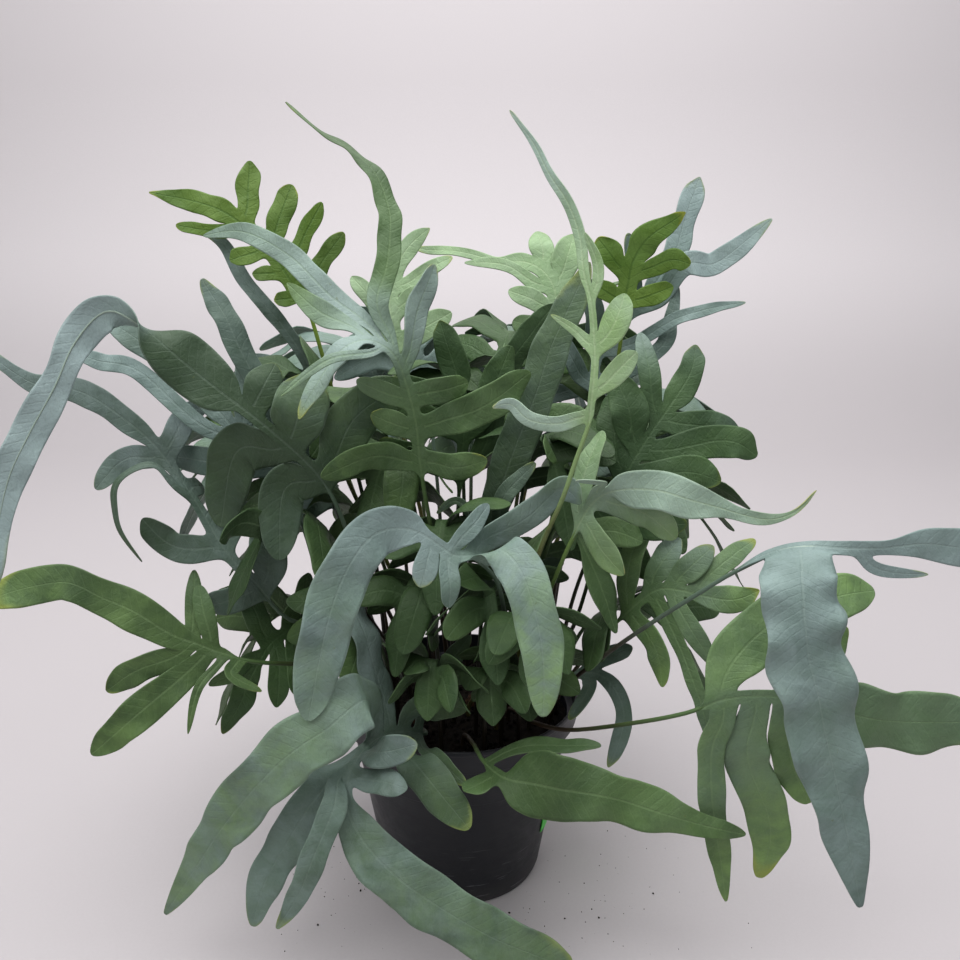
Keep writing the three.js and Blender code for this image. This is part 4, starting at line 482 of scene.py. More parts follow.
def ruled(name, tint, x, y, heading, reach, top, tip_height):
    """A frond that rises in an arch along its heading, with pairs of lobes that droop a little."""
    angle = math.radians(heading)
    out = np.array([math.cos(angle), math.sin(angle), 0])
    left = np.array([-out[1], out[0], 0])

    def at(s):
        u = s / RULE_STEPS
        if u < CREST:
            height = STALK_START + (top - STALK_START) * (1 - (1 - u / CREST) ** 2)
        else:
            height = top - (top - tip_height) * ((u - CREST) / (1 - CREST)) ** 1.6
        bow = BOW * reach * math.sin(2.4 * u + x)
        return np.array([x, y, height]) + out * reach * (0.15 * u + 0.85 * u**1.5) + left * bow * u

    size = 0.55 + reach / 330

    def side_lobe(s, long, w, side, k):
        p = at(s)
        aim = unit(left * side + out * 0.55 + np.array([0, 0, 0.12 + 0.1 * math.sin(3 * k + x)]))
        far = long * size
        to = p + aim * far + np.array([0, 0, -DROOP * far])
        by = [p + aim * 0.5 * far + np.array([0, 0, 0.05 * far])]
        return {"w": w * (0.7 + 0.3 * size), "by": by, "to": to}

    slots = []
    for k, (s, long, w) in enumerate(INNER_LOBES if "inner" in name else BACK_LOBES):
        pair = side_lobe(s, long, w, 1, k), side_lobe(s + 0.05, long * 0.94, w, -1, k + 2)
        slots.append((s, RULE_SLOT, *pair))
    path = [at(k) for k in range(1, RULE_STEPS + 1)]
    return {"name": "frond_" + name, "tint": tint, "root": (x, y), "blade": RULE_BLADE, "end": RULE_END,
            "path": path, "wide": RULE_WIDE, "slots": slots}


# ---- layout of one frond, as in the solids --------------------------------------------------
# The turns and leans a whole frond may have, and the lifts, sweeps and lengths a lobe may have.
FROND_MOVES = [(turn, lean) for turn in range(-14, 15, 2) for lean in range(-8, 9, 2)]
LOBE_MOVES = [
    (lift, sweep, long)
    for long in (1, 0.8, 0.6, 0.42)
    for lift in range(-48, 49, 6)
    for sweep in range(-32, 33, 8)
]


def match(points, tips):
    """Place in tips of the one that lies in the middle of a leaf tip of the solid, or None."""
    apart = np.linalg.norm(points[None] - tips[:, None], axis=2)
    near = np.abs(apart - TIP_HALF) < TIP_NEAR
    for k in np.flatnonzero(near.sum(axis=1) > 1):
        ring = points[near[k]]
        middles = (ring[:, None] + ring[None]) / 2
        if np.linalg.norm(middles - tips[k], axis=2).min() < TIP_MIDDLE:
            return k
    return None


class Layout:
    """One frond: its rib curve, turned frames along it, and its slots with their lobes."""

    def __init__(self, frond, points):
        self.frond = frond
        self.points = points
        self.root = np.array([*frond["root"], STALK_START], float)
        far = frond["path"][-1] - self.root
        self.hinge = unit(np.array([far[1], -far[0], 0]))
        tips = np.array([self.moved(frond["path"][-1], move) for move in FROND_MOVES])
        place = match(points, tips)
        if place is None:
            raise RuntimeError(f"{frond['name']} isn't laid out as its solid is")
        self.move = FROND_MOVES[place]
        path = [self.moved(p, self.move) for p in frond["path"]]
        below = path[0] - np.array([0, 0, ROOT_STEER * float(np.linalg.norm(path[0] - self.root))])
        self.curve = Spline([below, self.root, *path, 2 * path[-1] - path[-2]])
        self.slots = []
        for s, wide, left, right in frond["slots"]:
            half = wide / 2 / self.pace(s)
            lobes = [self.moved_lobe(left), self.moved_lobe(right)]
            self.slots.append({"s": s, "from": s - half, "to": s + half, "lobes": lobes})
        for before, after in zip(self.slots, self.slots[1:]):
            over = before["to"] + SLOT_GAP / self.pace(after["s"]) - after["from"]
            if over > 0:
                before["to"] -= over / 2
                after["from"] += over / 2
        self.free = carried(self.curve, square_to(FIRST_ACROSS, UP))
        self.turns = []
        for slot in self.slots:
            p = self.curve.at(slot["s"])
            aims = [unit([*lobe["by"], lobe["to"]][0] - p) if lobe else np.zeros(3) for lobe in slot["lobes"]]
            angle = turn_to(aims[0] - aims[1], self.free(slot["s"]), unit(self.curve.slope(slot["s"])))
            before = self.turns[-1][1] if self.turns else angle
            self.turns.append((slot["s"], angle - 360 * math.floor((angle - before) / 360 + 0.5)))
        self.roll = list(frond.get("roll", [(0, 0)]))
        if frond.get("face"):
            _, t, c, _ = self.frame((frond["end"] + self.curve.last) / 2)
            facing = turn_to(np.cross(t, AWAY), c, t)
            self.roll += [(frond["end"], 0), (frond["end"] + FACING_STEPS, facing)]

    def pace(self, s):
        """Length of the rib for one step of its path."""
        return max(float(np.linalg.norm(self.curve.slope(s))), 1)

    def moved(self, p, move):
        turn, lean = move
        return self.root + spun(spun(p - self.root, self.hinge, -lean), UP, turn)

    def moved_lobe(self, lobe):
        if not lobe:
            return None
        by = [self.moved(p, self.move) for p in lobe["by"]]
        return {**lobe, "by": by, "to": self.moved(lobe["to"], self.move)}

    def frame(self, s):
        """Point, direction along the rib, direction across to its left, and upper normal."""
        t = unit(self.curve.slope(s))
        c = spun(self.free(s), t, stepped(self.turns, s) + stepped(self.roll, s))
        return self.curve.at(s), t, c, np.cross(t, c)

    def rib_half(self, s):
        frond = self.frond
        if s >= frond["end"]:
            return stepped(frond["wide"], s) / 2
        wing = frond.get("wing", WING_HALF)
        return stepped([(frond["blade"], STALK_HALF), (frond["blade"] + WING_GROWS, wing)], s)


class LobeLine:
    """Centre line and cross direction of one lobe, lifted, swept and shortened as in its solid."""

    def __init__(self, layout, slot, side):
        lobe = slot["lobes"][side]
        out = 1 if side == 0 else -1
        p, t, c, n = layout.frame(slot["s"])
        base = p + c * out * layout.rib_half(slot["s"])

        def bent(q, move):
            lift, sweep, long = move
            return base + spun(spun(q - base, t, out * lift), n, -out * sweep) * long

        place = match(layout.points, np.array([bent(lobe["to"], move) for move in LOBE_MOVES]))
        self.found = place is not None
        if not self.found:
            return
        move = LOBE_MOVES[place]
        reach = float(np.linalg.norm(lobe["to"] - base))
        arch = (base + lobe["to"]) / 2 + n * LOBE_ARCH * reach
        stops = [base, *[bent(q, move) for q in lobe["by"] or [arch]], bent(lobe["to"], move)]
        ahead = float(np.linalg.norm(stops[1] - base))
        behind = base - unit(c * out + t * LOBE_AHEAD) * LOBE_STEER * ahead
        self.curve = Spline([behind, *stops, 2 * stops[-1] - stops[-2]])
        self.along = carried(self.curve, t)
        middle = self.curve.last * 0.5
        line = unit(self.curve.slope(middle))
        self.facing = turn_to(np.cross(AWAY, line) * out, self.along(middle), line)
        self.run = self.curve.run(0, self.curve.last)
        self.lobe = lobe
        self.out = out

    def frame(self, u):
        """Point, direction along the lobe, direction across it, and upper normal, at a share u of it."""
        s = u * self.curve.last
        line = unit(self.curve.slope(s))
        turn = self.lobe.get("twist", 0) * smooth(u)
        if self.lobe.get("face"):
            turn += self.facing * smooth(u * self.run / FACING_RUN)
        w = spun(self.along(s), line, turn)
        return self.curve.at(s), line, w, np.cross(w, line) * self.out


# ---- materials -----------------------------------------------------------------------------
def linear(code):
    """Linear colour of a hex code."""
    parts = [int(code[k : k + 2], 16) / 255 for k in (0, 2, 4)]
    return tuple(p / 12.92 if p <= 0.04045 else ((p + 0.055) / 1.055) ** 2.4 for p in parts) + (1.0,)


class Shade:
    """A material whose nodes are added one by one."""

    def __init__(self, name, roughness=0.6, specular=0.35):
        self.material = bpy.data.materials.new(name)
        self.material.use_nodes = True
        self.tree = self.material.node_tree
        self.shader = self.tree.nodes["Principled BSDF"]
        self.shader.inputs["Roughness"].default_value = roughness
        self.shader.inputs["Specular IOR Level"].default_value = specular
        self.object = self.add("TexCoord").outputs["Object"]

    def add(self, kind, *values, **settings):
        node = self.tree.nodes.new("ShaderNode" + kind)
        for key, value in settings.items():
            setattr(node, key, value)
        for socket, value in zip(node.inputs, values):
            self.put(socket, value)
        return node

    def put(self, socket, value):
        if isinstance(value, bpy.types.NodeSocket):
            self.tree.links.new(value, socket)
        elif value is not None:
            socket.default_value = value

    def put_all(self, node, **values):
        """Sets inputs of a node by name and returns its first output."""
        for name, value in values.items():
            self.put(node.inputs[name], value)
        return node.outputs[0]

    def maths(self, operation, a, b=0.0, c=0.0):
        return self.add("Math", a, b, c, operation=operation).outputs[0]

    def times(self, a, b):
        return self.maths("MULTIPLY", a, b)

    def times_plus(self, a, b, c):
        return self.maths("MULTIPLY_ADD", a, b, c)

    def between(self, value, low, high, out_low=0.0, out_high=1.0):
        node = self.add("MapRange", value, low, high, out_low, out_high, interpolation_type="SMOOTHSTEP")
        return node.outputs[0]

    def mix(self, share, a, b):
        node = self.add("Mix", data_type="RGBA", blend_type="MIX")
        for place, value in ((0, share), (6, a), (7, b)):
            self.put(node.inputs[place], value)
        return node.outputs[2]

    def tint(self, share, colour, code):
        """The colour with a share of a hex code over it."""
        return self.mix(share, colour, linear(code))

    def noise(self, size, detail=3.0, rough=0.55, warp=0.0):
        """Soft noise whose blobs are about size mm across."""
        return self.put_all(self.add("TexNoise"), Vector=self.object, Scale=1 / (size * MM), Detail=detail,
                            Roughness=rough, Distortion=warp)

    def streaks(self, scale, detail, stretch, turn=(0, 0, 0)):
        """Noise drawn out along the axes that stretch makes small."""
        drawn = self.add("Mapping", self.object)
        drawn.inputs["Rotation"].default_value = turn
        drawn.inputs["Scale"].default_value = stretch
        return self.put_all(self.add("TexNoise"), Vector=drawn.outputs[0], Scale=scale, Detail=detail)

    def map(self, name):
        """A map as one vector, and its two numbers as sockets."""
        uv = self.add("UVMap", uv_map=name).outputs[0]
        split = self.add("SeparateXYZ", uv)
        return uv, split.outputs[0], split.outputs[1]

    def height(self):
        return self.add("SeparateXYZ", self.object).outputs[2]

    def bump(self, height, strength, depth):
        """Relief from a height of 0 to 1, depth mm deep."""
        node = self.add("Bump")
        self.put(self.shader.inputs["Normal"], self.put_all(node, Strength=strength, Distance=depth * MM,
                                                            Height=height))

    def finish(self, colour, roughness=None):
        self.put(self.shader.inputs["Base Color"], colour)
        self.put(self.shader.inputs["Roughness"], roughness)
        return self.material


# Colours that every leaf takes on in places, whatever its tint. The first is painted light, partly the waxy
# bloom, and the second is painted shade.
BLOOM_AND_PAINTED_LIGHT, PAINTED_SHADE, YELLOWED, DRIED, SPECKLED = "a3b6b7", "2b4020", "80a05c", "76603a", "5f6a3c"
VEIN_SPACING = 4.3  # mm along the blade
VEIN_SLANT = -0.75  # how far a side vein runs back for each mm across
VEIN_WOBBLE = 2.4  # mm
NET_SCALE = 0.62  # cells of the vein net in a mm
SIDE_VEINS, NET_VEINS, MIDRIB = 0.075, 0.06, 0.32  # how much of each shows
UNDERSIDE_VEINS = 2.2  # times as bold as above
MOST_VEIN = 0.6


def leaf_material(name, deep, main, bloom, vein, ripe, waxy, veined, under=False):
    """Leaf skin: deep and main green in clouds, a fine waxy bloom, midrib and side veins, a thin net of small
    veins, tips that ripen, and a thin paler margin, which is a painted highlight. The third map paints light
    and
    shade: it makes places paler as painted light, partly over the bloom, and darker as painted shade, and
    makes them yellower. Waxy and veined are how much of the bloom and of the veins shows."""
    shade = Shade(name, specular=0.28)
    veins, across, along = shade.map("veins")
    _, edge, share = shade.map("places")
    _, pale, yellow = shade.map("light_shade_age")
    side = shade.maths("ABSOLUTE", across)
    rim = shade.maths("ABSOLUTE", edge)
    clouds = shade.noise(52, 3, 0.6, warp=0.5)
    spread = shade.noise(13, 4, 0.6, warp=0.8)
    fine = shade.noise(0.9, 3, 0.65)
    colour = shade.tint(shade.between(clouds, 0.34, 0.66), linear(deep), main)
    colour = shade.tint(shade.times(shade.between(spread, 0.2, 0.8), waxy), colour, bloom)
    # Painted light and shade from the paleness map: paler towards pale blue-grey where light is painted,
    # partly over the waxy bloom, and darker towards deep green where shade is painted.
    colour = shade.tint(shade.between(pale, 0.0, 1.0, 0.0, 0.9), colour, BLOOM_AND_PAINTED_LIGHT)
    colour = shade.tint(shade.between(pale, 0.0, -1.0, 0.0, 0.85), colour, PAINTED_SHADE)
    patches = shade.times(shade.between(shade.noise(19, 3, 0.6, warp=0.6), 0.2, 0.8), yellow)
    colour = shade.tint(patches, colour, YELLOWED)
    colour = shade.tint(shade.between(fine, 0.35, 0.75, 0.0, 0.14), colour, deep)
    slanted = shade.times_plus(side, VEIN_SLANT, along)
    wobbly = shade.times_plus(shade.noise(7, 2), VEIN_WOBBLE, slanted)
    wave = shade.maths("SINE", shade.times(wobbly, CIRCLE / VEIN_SPACING))
    side_vein = shade.times(shade.between(wave, 0.72, 1.0), shade.between(rim, 0.97, 0.8))
    net = shade.add("TexVoronoi", feature="DISTANCE_TO_EDGE", distance="EUCLIDEAN")
    mesh = shade.between(shade.put_all(net, Vector=veins, Scale=NET_SCALE), 0.14, 0.02)
    width = shade.maths("MAXIMUM", shade.times_plus(share, -0.45, 0.7), 0.2)
    midrib = shade.between(shade.maths("DIVIDE", side, width), 1.0, 0.35)
    boldness = veined * (UNDERSIDE_VEINS if under else 1.0)
    for lines, weight in ((side_vein, SIDE_VEINS), (mesh, NET_VEINS), (midrib, MIDRIB)):
        colour = shade.tint(shade.times(lines, min(weight * boldness, MOST_VEIN)), colour, vein)
    # A thin paler margin in the vein colour: a painted highlight where light catches the edge.
    colour = shade.tint(shade.between(rim, 0.94, 1.0, 0.0, 0.22), colour, vein)
    ageing = shade.maths("ADD", share, shade.times_plus(shade.noise(11, 3), 0.3, -0.15))
    ageing = shade.maths("ADD", ageing, shade.between(rim, 0.5, 1.0, -0.04, 0.05))
    ageing = shade.times_plus(yellow, 0.07, ageing)
    colour = shade.tint(shade.between(ageing, 0.86, 1.04, 0.0, 0.7), colour, ripe)
    colour = shade.tint(shade.between(ageing, 1.08, 1.15), colour, DRIED)
    speck = shade.noise(2.6, 2, 0.5)
    colour = shade.tint(shade.between(speck, 0.74, 0.8, 0.0, 0.45), colour, SPECKLED)
    relief = shade.times_plus(side_vein, -0.3, shade.times(mesh, -0.12))
    relief = shade.times_plus(midrib, 0.8 if under else -0.6, relief)
    relief = shade.times_plus(shade.noise(2.4, 3, 0.6, warp=0.5), 0.7, relief)
    relief = shade.times_plus(shade.noise(5.5, 2, 0.5, warp=0.9), 2.4, relief)
    shade.bump(relief, 0.55, 0.4)
    return shade.finish(colour, shade.between(spread, 0.25, 0.75, 0.5, 0.64))


def stalk_material(name, green, brown, midrib):
    """Stalk: brown from the soil up, green where the blade starts, and pale under it as its midrib. The
    places map holds the share of the way to the blade."""
    shade = Shade(name, roughness=0.5, specular=0.3)
    _, _, share = shade.map("places")
    low = shade.between(shade.times_plus(shade.noise(14, 3), 0.4, share), 1.1, 0.6)
    streak = shade.noise(2.2, 3, 0.6)
    colour = shade.tint(shade.between(share, 1.05, 1.5), linear(green), midrib)
    colour = shade.tint(low, colour, brown)
    colour = shade.tint(shade.times(low, shade.between(streak, 0.4, 0.7, 0.0, 0.4)), colour, "241f16")
    shade.bump(streak, 0.4, 0.25)
    return shade.finish(colour)


SLOTS = {
    "blue": "leaf_blue",
    "grey": "leaf_grey_blue",
    "green": "leaf_green",
    "dark": "leaf_dark_green",
    "young": "leaf_yellow_green",
    "pale": "leaf_pale_green",
    "light": "leaf_light_green",
}
# Tints: deep green, main green, bloom, veins, ripe tips, share of bloom, share of veins.
TINTS = {
    "blue": ("556a62", "6c8179", "a3b5b7", "9aaba1", "8f9c50", 0.35, 0.35),
    "grey": ("445748", "5b7162", "a1b3b5", "8fa093", "84934e", 0.3, 0.3),
    "green": ("3c5631", "536f42", "889c82", "86a070", "949c46", 0.2, 0.5),
    "dark": ("2c4427", "3f5a33", "677f66", "6f8a62", "748238", 0.18, 0.4),
    "young": ("4b6c1e", "627f27", "86a048", "3f6020", "a6aa40", 0.15, 1.6),
    "pale": ("7f9c70", "98b48a", "b9c9b8", "b9cda4", "b4ba6c", 0.25, 0.7),
    "light": ("6a865c", "849d78", "a6b8a6", "a9bc94", "aca758", 0.3, 0.7),
}
# Paler, duller colours of the underside, in the same order.
UNDER_TINTS = {
    "blue": ("5a6f66", "70857b", "a3b5b6", "9fb0a4", "8d965a", 0.35, 0.35),
    "grey": ("4c5f50", "627867", "a1b3b4", "93a497", "838e58", 0.3, 0.35),
    "green": ("486244", "5d7a56", "86997f", "8aa378", "939a50", 0.3, 0.5),
    "dark": ("3a5138", "4d6846", "6c8268", "76906a", "7a8548", 0.3, 0.5),
    "young": ("5f8430", "7a9c44", "94ad62", "527430", "a8ac50", 0.2, 1.2),
    "pale": ("88a27c", "9db490", "b4c4ae", "b4c8a4", "aeb478", 0.3, 0.5),
    "light": ("748c68", "8aa07e", "a2b29c", "a5b692", "a5a264", 0.3, 0.5),
}
# Stalks: green below the blade, brown at the soil.
STALK_TINTS = {
    "blue": ("56695a", "2e261b"),
    "grey": ("4f6250", "2b241a"),
    "green": ("4a6338", "35291a"),
    "dark": ("364a2c", "211b13"),
    "young": ("7d9a3c", "58602c"),
    "pale": ("86a06a", "5f5c30"),
    "light": ("6f8a4c", "4a4226"),
}
UNDER_VEIN = 3  # place of the vein colour in a row of UNDER_TINTS
LEAF = {}
UNDERSIDE = {}
STALK = {}
for tint, slot in SLOTS.items():
    LEAF[tint] = leaf_material(slot, *TINTS[tint])
    UNDERSIDE[tint] = leaf_material(slot + "_under", *UNDER_TINTS[tint], under=True)
    STALK[tint] = stalk_material(slot + "_stalk", *STALK_TINTS[tint], UNDER_TINTS[tint][UNDER_VEIN])


def pot_material():
    """Satin black plastic, dusty in places, splashed with soil at the foot and finely scratched."""
    shade = Shade("pot_plastic", specular=0.42)
    dust = shade.noise(16, 5, 0.65, warp=0.3)
    grain = shade.noise(0.7, 2, 0.6)
    height = shade.height()
    rub = shade.streaks(40, 4, (1, 1, 14))
    scratch = shade.streaks(120, 5, (0.5, 0.5, 9), turn=(0.2, 0.5, 0))
    colour = shade.tint(shade.between(dust, 0.5, 0.8, 0.0, 0.3), linear("12151b"), "292d34")
    splash = shade.times(shade.between(height, 0.016, 0.0), shade.between(dust, 0.4, 0.62))
    colour = shade.tint(shade.times(splash, 0.45), colour, "4c4a48")
    scratches = shade.times(shade.between(scratch, 0.64, 0.69), shade.between(height, 0.05, 0.01))
    colour = shade.tint(shade.times(scratches, 0.55), colour, "77777a")
    shade.bump(shade.times_plus(rub, 0.6, shade.times(grain, 0.5)), 0.35, 0.3)
    return shade.finish(colour, shade.between(dust, 0.3, 0.7, 0.4, 0.58))


def soil_material(name, dark, light, pale):
    shade = Shade(name, roughness=0.95, specular=0.12)
    lumps = shade.noise(4, 5, 0.7)
    fleck = shade.noise(1.2, 3, 0.7)
    colour = shade.tint(shade.between(lumps, 0.35, 0.65), linear(dark), light)
    colour = shade.tint(shade.between(fleck, 0.7, 0.76, 0.0, 0.6), colour, pale)
    shade.bump(shade.times_plus(fleck, 0.4, lumps), 0.8, 1.2)
    return shade.finish(colour)


def rhizome_material():
    shade = Shade("rhizome_skin", roughness=0.85, specular=0.2)
    cells = shade.put_all(shade.add("TexVoronoi", feature="F1"), Vector=shade.object, Scale=520)
    hair = shade.noise(1.0, 4, 0.7)
    colour = shade.tint(shade.between(cells, 0.2, 0.9), linear("4a3220"), "241810")
    colour = shade.tint(shade.between(hair, 0.55, 0.75, 0.0, 0.5), colour, "6b4c30")
    shade.bump(shade.times_plus(hair, 0.5, cells), 0.8, 0.8)
    return shade.finish(colour)


def sticker_material():
    shade = Shade("sticker_film", roughness=0.4, specular=0.45)
    worn = shade.noise(6, 4, 0.65)
    colour = shade.tint(shade.between(worn, 0.4, 0.75, 0.0, 0.4), linear("3fd03a"), "27932a")
    shade.bump(worn, 0.3, 0.2)
    return shade.finish(colour)


def stage_material():
    """Pale paper: paler on the floor close to the pot as painted light that lifts the plant's shadow, darker
    farther out on the floor as painted shade against the lamps, and paler up the wall as painted light, so
    that it looks evenly lit.
    """
    shade = Shade("backdrop", roughness=0.8, specular=0.2)
    fibre = shade.noise(1.5, 3, 0.6)
    away = shade.add("VectorMath", shade.object, operation="LENGTH").outputs["Value"]
    # Painted light on the floor near the pot, painted shade on the floor farther out.
    colour = shade.tint(shade.between(away, 0.08, 0.34), linear("c8c3c5"), "b6b1b3")
    # Painted light up the wall.
    colour = shade.tint(shade.between(shade.height(), 0.0, 0.25), colour, "d2cdcf")
    colour = shade.tint(shade.between(fibre, 0.3, 0.7, 0.0, 0.08), colour, "a9a4a6")
    shade.bump(fibre, 0.15, 0.1)
    return shade.finish(colour)


# ---- painted light and shade, and ageing, of the front fronds --------------------------------
# Steps of (place, paleness, yellowing): "rib" by place on the path, (slot, side) by share of the lobe, where
# side 0 is left. Paleness is painted light and shade: it runs from -1, darkest green, painted shade as inside
# the crown, to 1, palest blue-grey, painted sky light on parts turned up, partly over the real waxy bloom.
# Age makes tips riper, or with less than nothing fresher.
PAINTED_LIGHT_AND_AGE = {
    "frond_west_arch": {
        "rib": [(3, -1, 0), (6.3, -1, 0), (7.2, 0.5, 0), (9, 0.9, 0), (13, 0.8, 0)],
        (0, 0): [(1, -0.6, 0.1)],
        (0, 1): [(0.3, -0.75, 0.2), (1, -0.75, 0.4)],
        (1, 0): [(1, -0.75, 0.1)],
        (1, 1): [(0.5, -0.6, 0.2), (1, -0.5, 0.4)],
        (2, 1): [(1, -0.8, 0.1)],
    },
    "frond_west_back": {
        "rib": [(2, -0.2, 0), (5, -0.3, 0), (7, -0.6, 0), (9, 0.1, 0)],
        (0, 0): [(1, -0.6, 0)],
        (1, 0): [(1, -0.5, 0)],
        (1, 1): [(0.3, -0.6, 0), (1, -0.5, 0)],
        (2, 0): [(0.3, 0.2, 0), (1, 0.4, 0)],
    },
    "frond_west_mid": {
        "rib": [(2, -0.5, 0), (5, -0.2, 0), (8, 0.1, 0), (10, 0.3, 0), (12, 0.7, 0)],
        (0, 0): [(1, -0.4, 0)],
        (1, 0): [(1, -0.9, 0)],
        (1, 1): [(1, -0.7, 0)],
        (2, 0): [(0.4, -0.6, 0), (1, -0.9, 0.2)],
        (3, 0): [(0.3, 0.4, 0), (1, 0.1, 0.1)],
        (3, 1): [(0.3, 0.6, 0), (1, 0.6, 0)],
    },
    "frond_west_strap": {
        "rib": [(2, -0.4, 0), (4, -0.1, 0), (6, 0.3, 0), (8, 0.5, 0)],
        (0, 0): [(1, -0.3, 0.2)],
        (0, 1): [(1, 0.5, 0)],
        (1, 0): [(1, 0.2, 0)],
    },
    "frond_south_west": {
        "rib": [(3, -0.8, 0.2), (7, -0.8, 0.4), (10, -0.6, 0.5), (13, -0.1, 0.8)],
        (0, 0): [(1, -0.6, 0.3)],
        (1, 0): [(1, -0.7, 0.3)],
        (2, 0): [(1, -0.9, 0.5)],
        (2, 1): [(1, 0, 0)],
        (3, 0): [(1, -0.6, 0.4)],
        (3, 1): [(1, -0.4, 0)],
    },
    "frond_south_west_low": {
        "rib": [(1, -0.6, 0.1), (3, -0.2, 0), (5, 0, 0), (7, -0.1, 0.3), (10, -0.6, 0.3)],
        (0, 0): [(1, -1, 0.3)],
        (0, 1): [(1, -0.7, 0.3)],
        (1, 0): [(1, -1, 0.3)],
        (1, 1): [(1, -1, 0.3)],
        (2, 1): [(0.4, 0.3, 0), (1, 0.3, 0)],
        (3, 1): [(0.2, 0.3, 0.2), (0.6, 0.1, 0.5), (1, 0.1, 0.5)],
        (4, 0): [(1, 0.3, 0)],
        (4, 1): [(0.4, 0, 0), (1, 0.2, 0.1)],
        (5, 0): [(1, 0.2, 0)],
        (5, 1): [(1, 0, 0.1)],
    },
    "frond_crown": {
        "rib": [(3, -0.2, 0), (6, 0.1, 0), (8, 0.6, 0), (10, 0.7, 0), (13, 0.5, 0.5)],
        (0, 0): [(1, -0.3, 0.4)],
        (0, 1): [(1, -0.4, 0.4)],
        (1, 0): [(1, -0.4, 0.2)],
        (1, 1): [(1, -0.5, 0.3)],
        (2, 1): [(1, -0.4, 0.3)],
        (3, 1): [(0.3, 0.6, 0), (1, 0.6, 0)],
        (4, 1): [(0.15, 0.4, 0), (0.3, -0.2, 0), (1, -0.4, 0)],
        (5, 1): [(0.2, 0.7, 0), (1, 0.4, 0)],
        (5, 0): [(1, 0.3, 0.5)],
        (6, 1): [(1, 0.2, 0.6)],
    },
    "frond_front": {
        "age": -0.2,
        "rib": [(2, -0.3, 0.2), (4, 0, 0.1), (6, 0.5, 0), (8, 0.3, 0), (11, 0, 0.3)],
        (0, 0): [(0.3, 0.4, 0.3), (0.6, 0.2, 0.8), (1, 0.15, 0.9)],
        (0, 1): [(0.5, 0.3, 0.2), (1, 0.2, 1)],
        (1, 0): [(1, -0.4, 0.2)],
        (1, 1): [(1, 0.3, 0)],
    },
    "frond_grey_centre": {
        "rib": [(1, -0.6, 0), (4, -0.7, 0.1), (7, -0.7, 0.2), (10, -0.6, 0.2)],
    },
    "frond_tall": {
        "rib": [(6, 0, 0.7), (10, 0, 0.6), (12, 0.1, 0.3), (15, 0.6, 0), (18, 0.7, 0)],
        (0, 0): [(0.2, 0.5, 0), (1, 0.7, 0)],
        (1, 1): [(1, 0.2, 0.5)],
    },
    "frond_east_blue": {
        "rib": [(2, -0.4, 0), (5, -0.2, 0), (7, 0.3, 0), (10, 0.7, 0)],
        (0, 1): [(1, -0.4, 0)],
        (1, 1): [(0.4, 0.2, 0), (1, -0.3, 0)],
        (2, 0): [(1, 0.5, 0)],
        (2, 1): [(0.3, 0.7, 0), (1, 0.5, 0.1)],
    },
    "frond_east": {
        "rib": [(2, -0.3, 0), (6, -0.1, 0.1), (8, 0.3, 0)],
        (3, 0): [(1, 0.5, 0)],
        (3, 1): [(1, 0.3, 0)],
    },
    "frond_east_light": {
        "rib": [(2, 0, 0.3), (5, 0.5, 0), (9, 0.5, 0.1), (12, 0.2, 0.4)],
        (0, 1): [(1, 0, 0.9)],
        (1, 1): [(1, 0, 0.7)],
    },
    "frond_east_low": {
        "rib": [(2, -0.1, 0.2), (5, 0.3, 0.3), (7, 0.1, 1)],
        (0, 1): [(1, -0.1, 0.9)],
        (1, 0): [(1, 0.5, 0)],
        (1, 1): [(1, 0.3, 0.1)],
        (2, 0): [(1, 0.4, 0.1)],
        (2, 1): [(1, 0.3, 0.3)],
        (3, 1): [(1, 0.4, 0.2)],
    },
    "frond_south_east": {
        "rib": [(4, 0.1, 0.5), (6, 0.3, 0.3), (8, 0.2, 0.1), (11, 0.2, 0)],
        (0, 0): [(0.4, 0.1, 0.6), (1, 0.1, 0.8)],
        (0, 1): [(0.5, 0.2, 0.3), (0.8, 0, 0.7), (1, 0, 1.2)],
        (1, 1): [(0.4, 0.3, 0.4), (0.7, 0.1, 0.9), (1, 0.1, 1.2)],
        (2, 0): [(1, 0, 1)],
        (2, 1): [(1, -0.2, 0.6)],
    },
    "frond_near_east": {
        "rib": [(3, -0.3, 0), (4, 0.3, 0), (6, 0.4, 0), (10, 0.4, 0)],
        (0, 1): [(0.08, 0.25, 0), (0.2, 0.3, 0), (0.45, 0.3, 0.1), (0.6, 0.1, 0.1), (1, -0.2, 0)],
        (1, 1): [(1, 0.5, 0)],
    },
    "frond_south": {
        "age": -0.25,
        "rib": [(2, -1, 0.1), (4, -0.9, 0.1), (6, -0.5, 0.2), (8, -0.3, 0.3), (10, -0.3, 0.4)],
        (0, 0): [(1, 0.1, 0)],
        (1, 1): [(1, 0, 0.1)],
    },
    "frond_young_west": {
        "rib": [(4, -0.45, 0.15), (11, -0.3, 0.1)],
    },
    "frond_young_east": {
        "rib": [(2, -0.1, 0.3), (11, 0, 0.4)],
    },
    "frond_east_droop": {
        "rib": [(1, -0.4, 0), (5, -0.2, 0), (7, -0.3, 0)],
    },
}


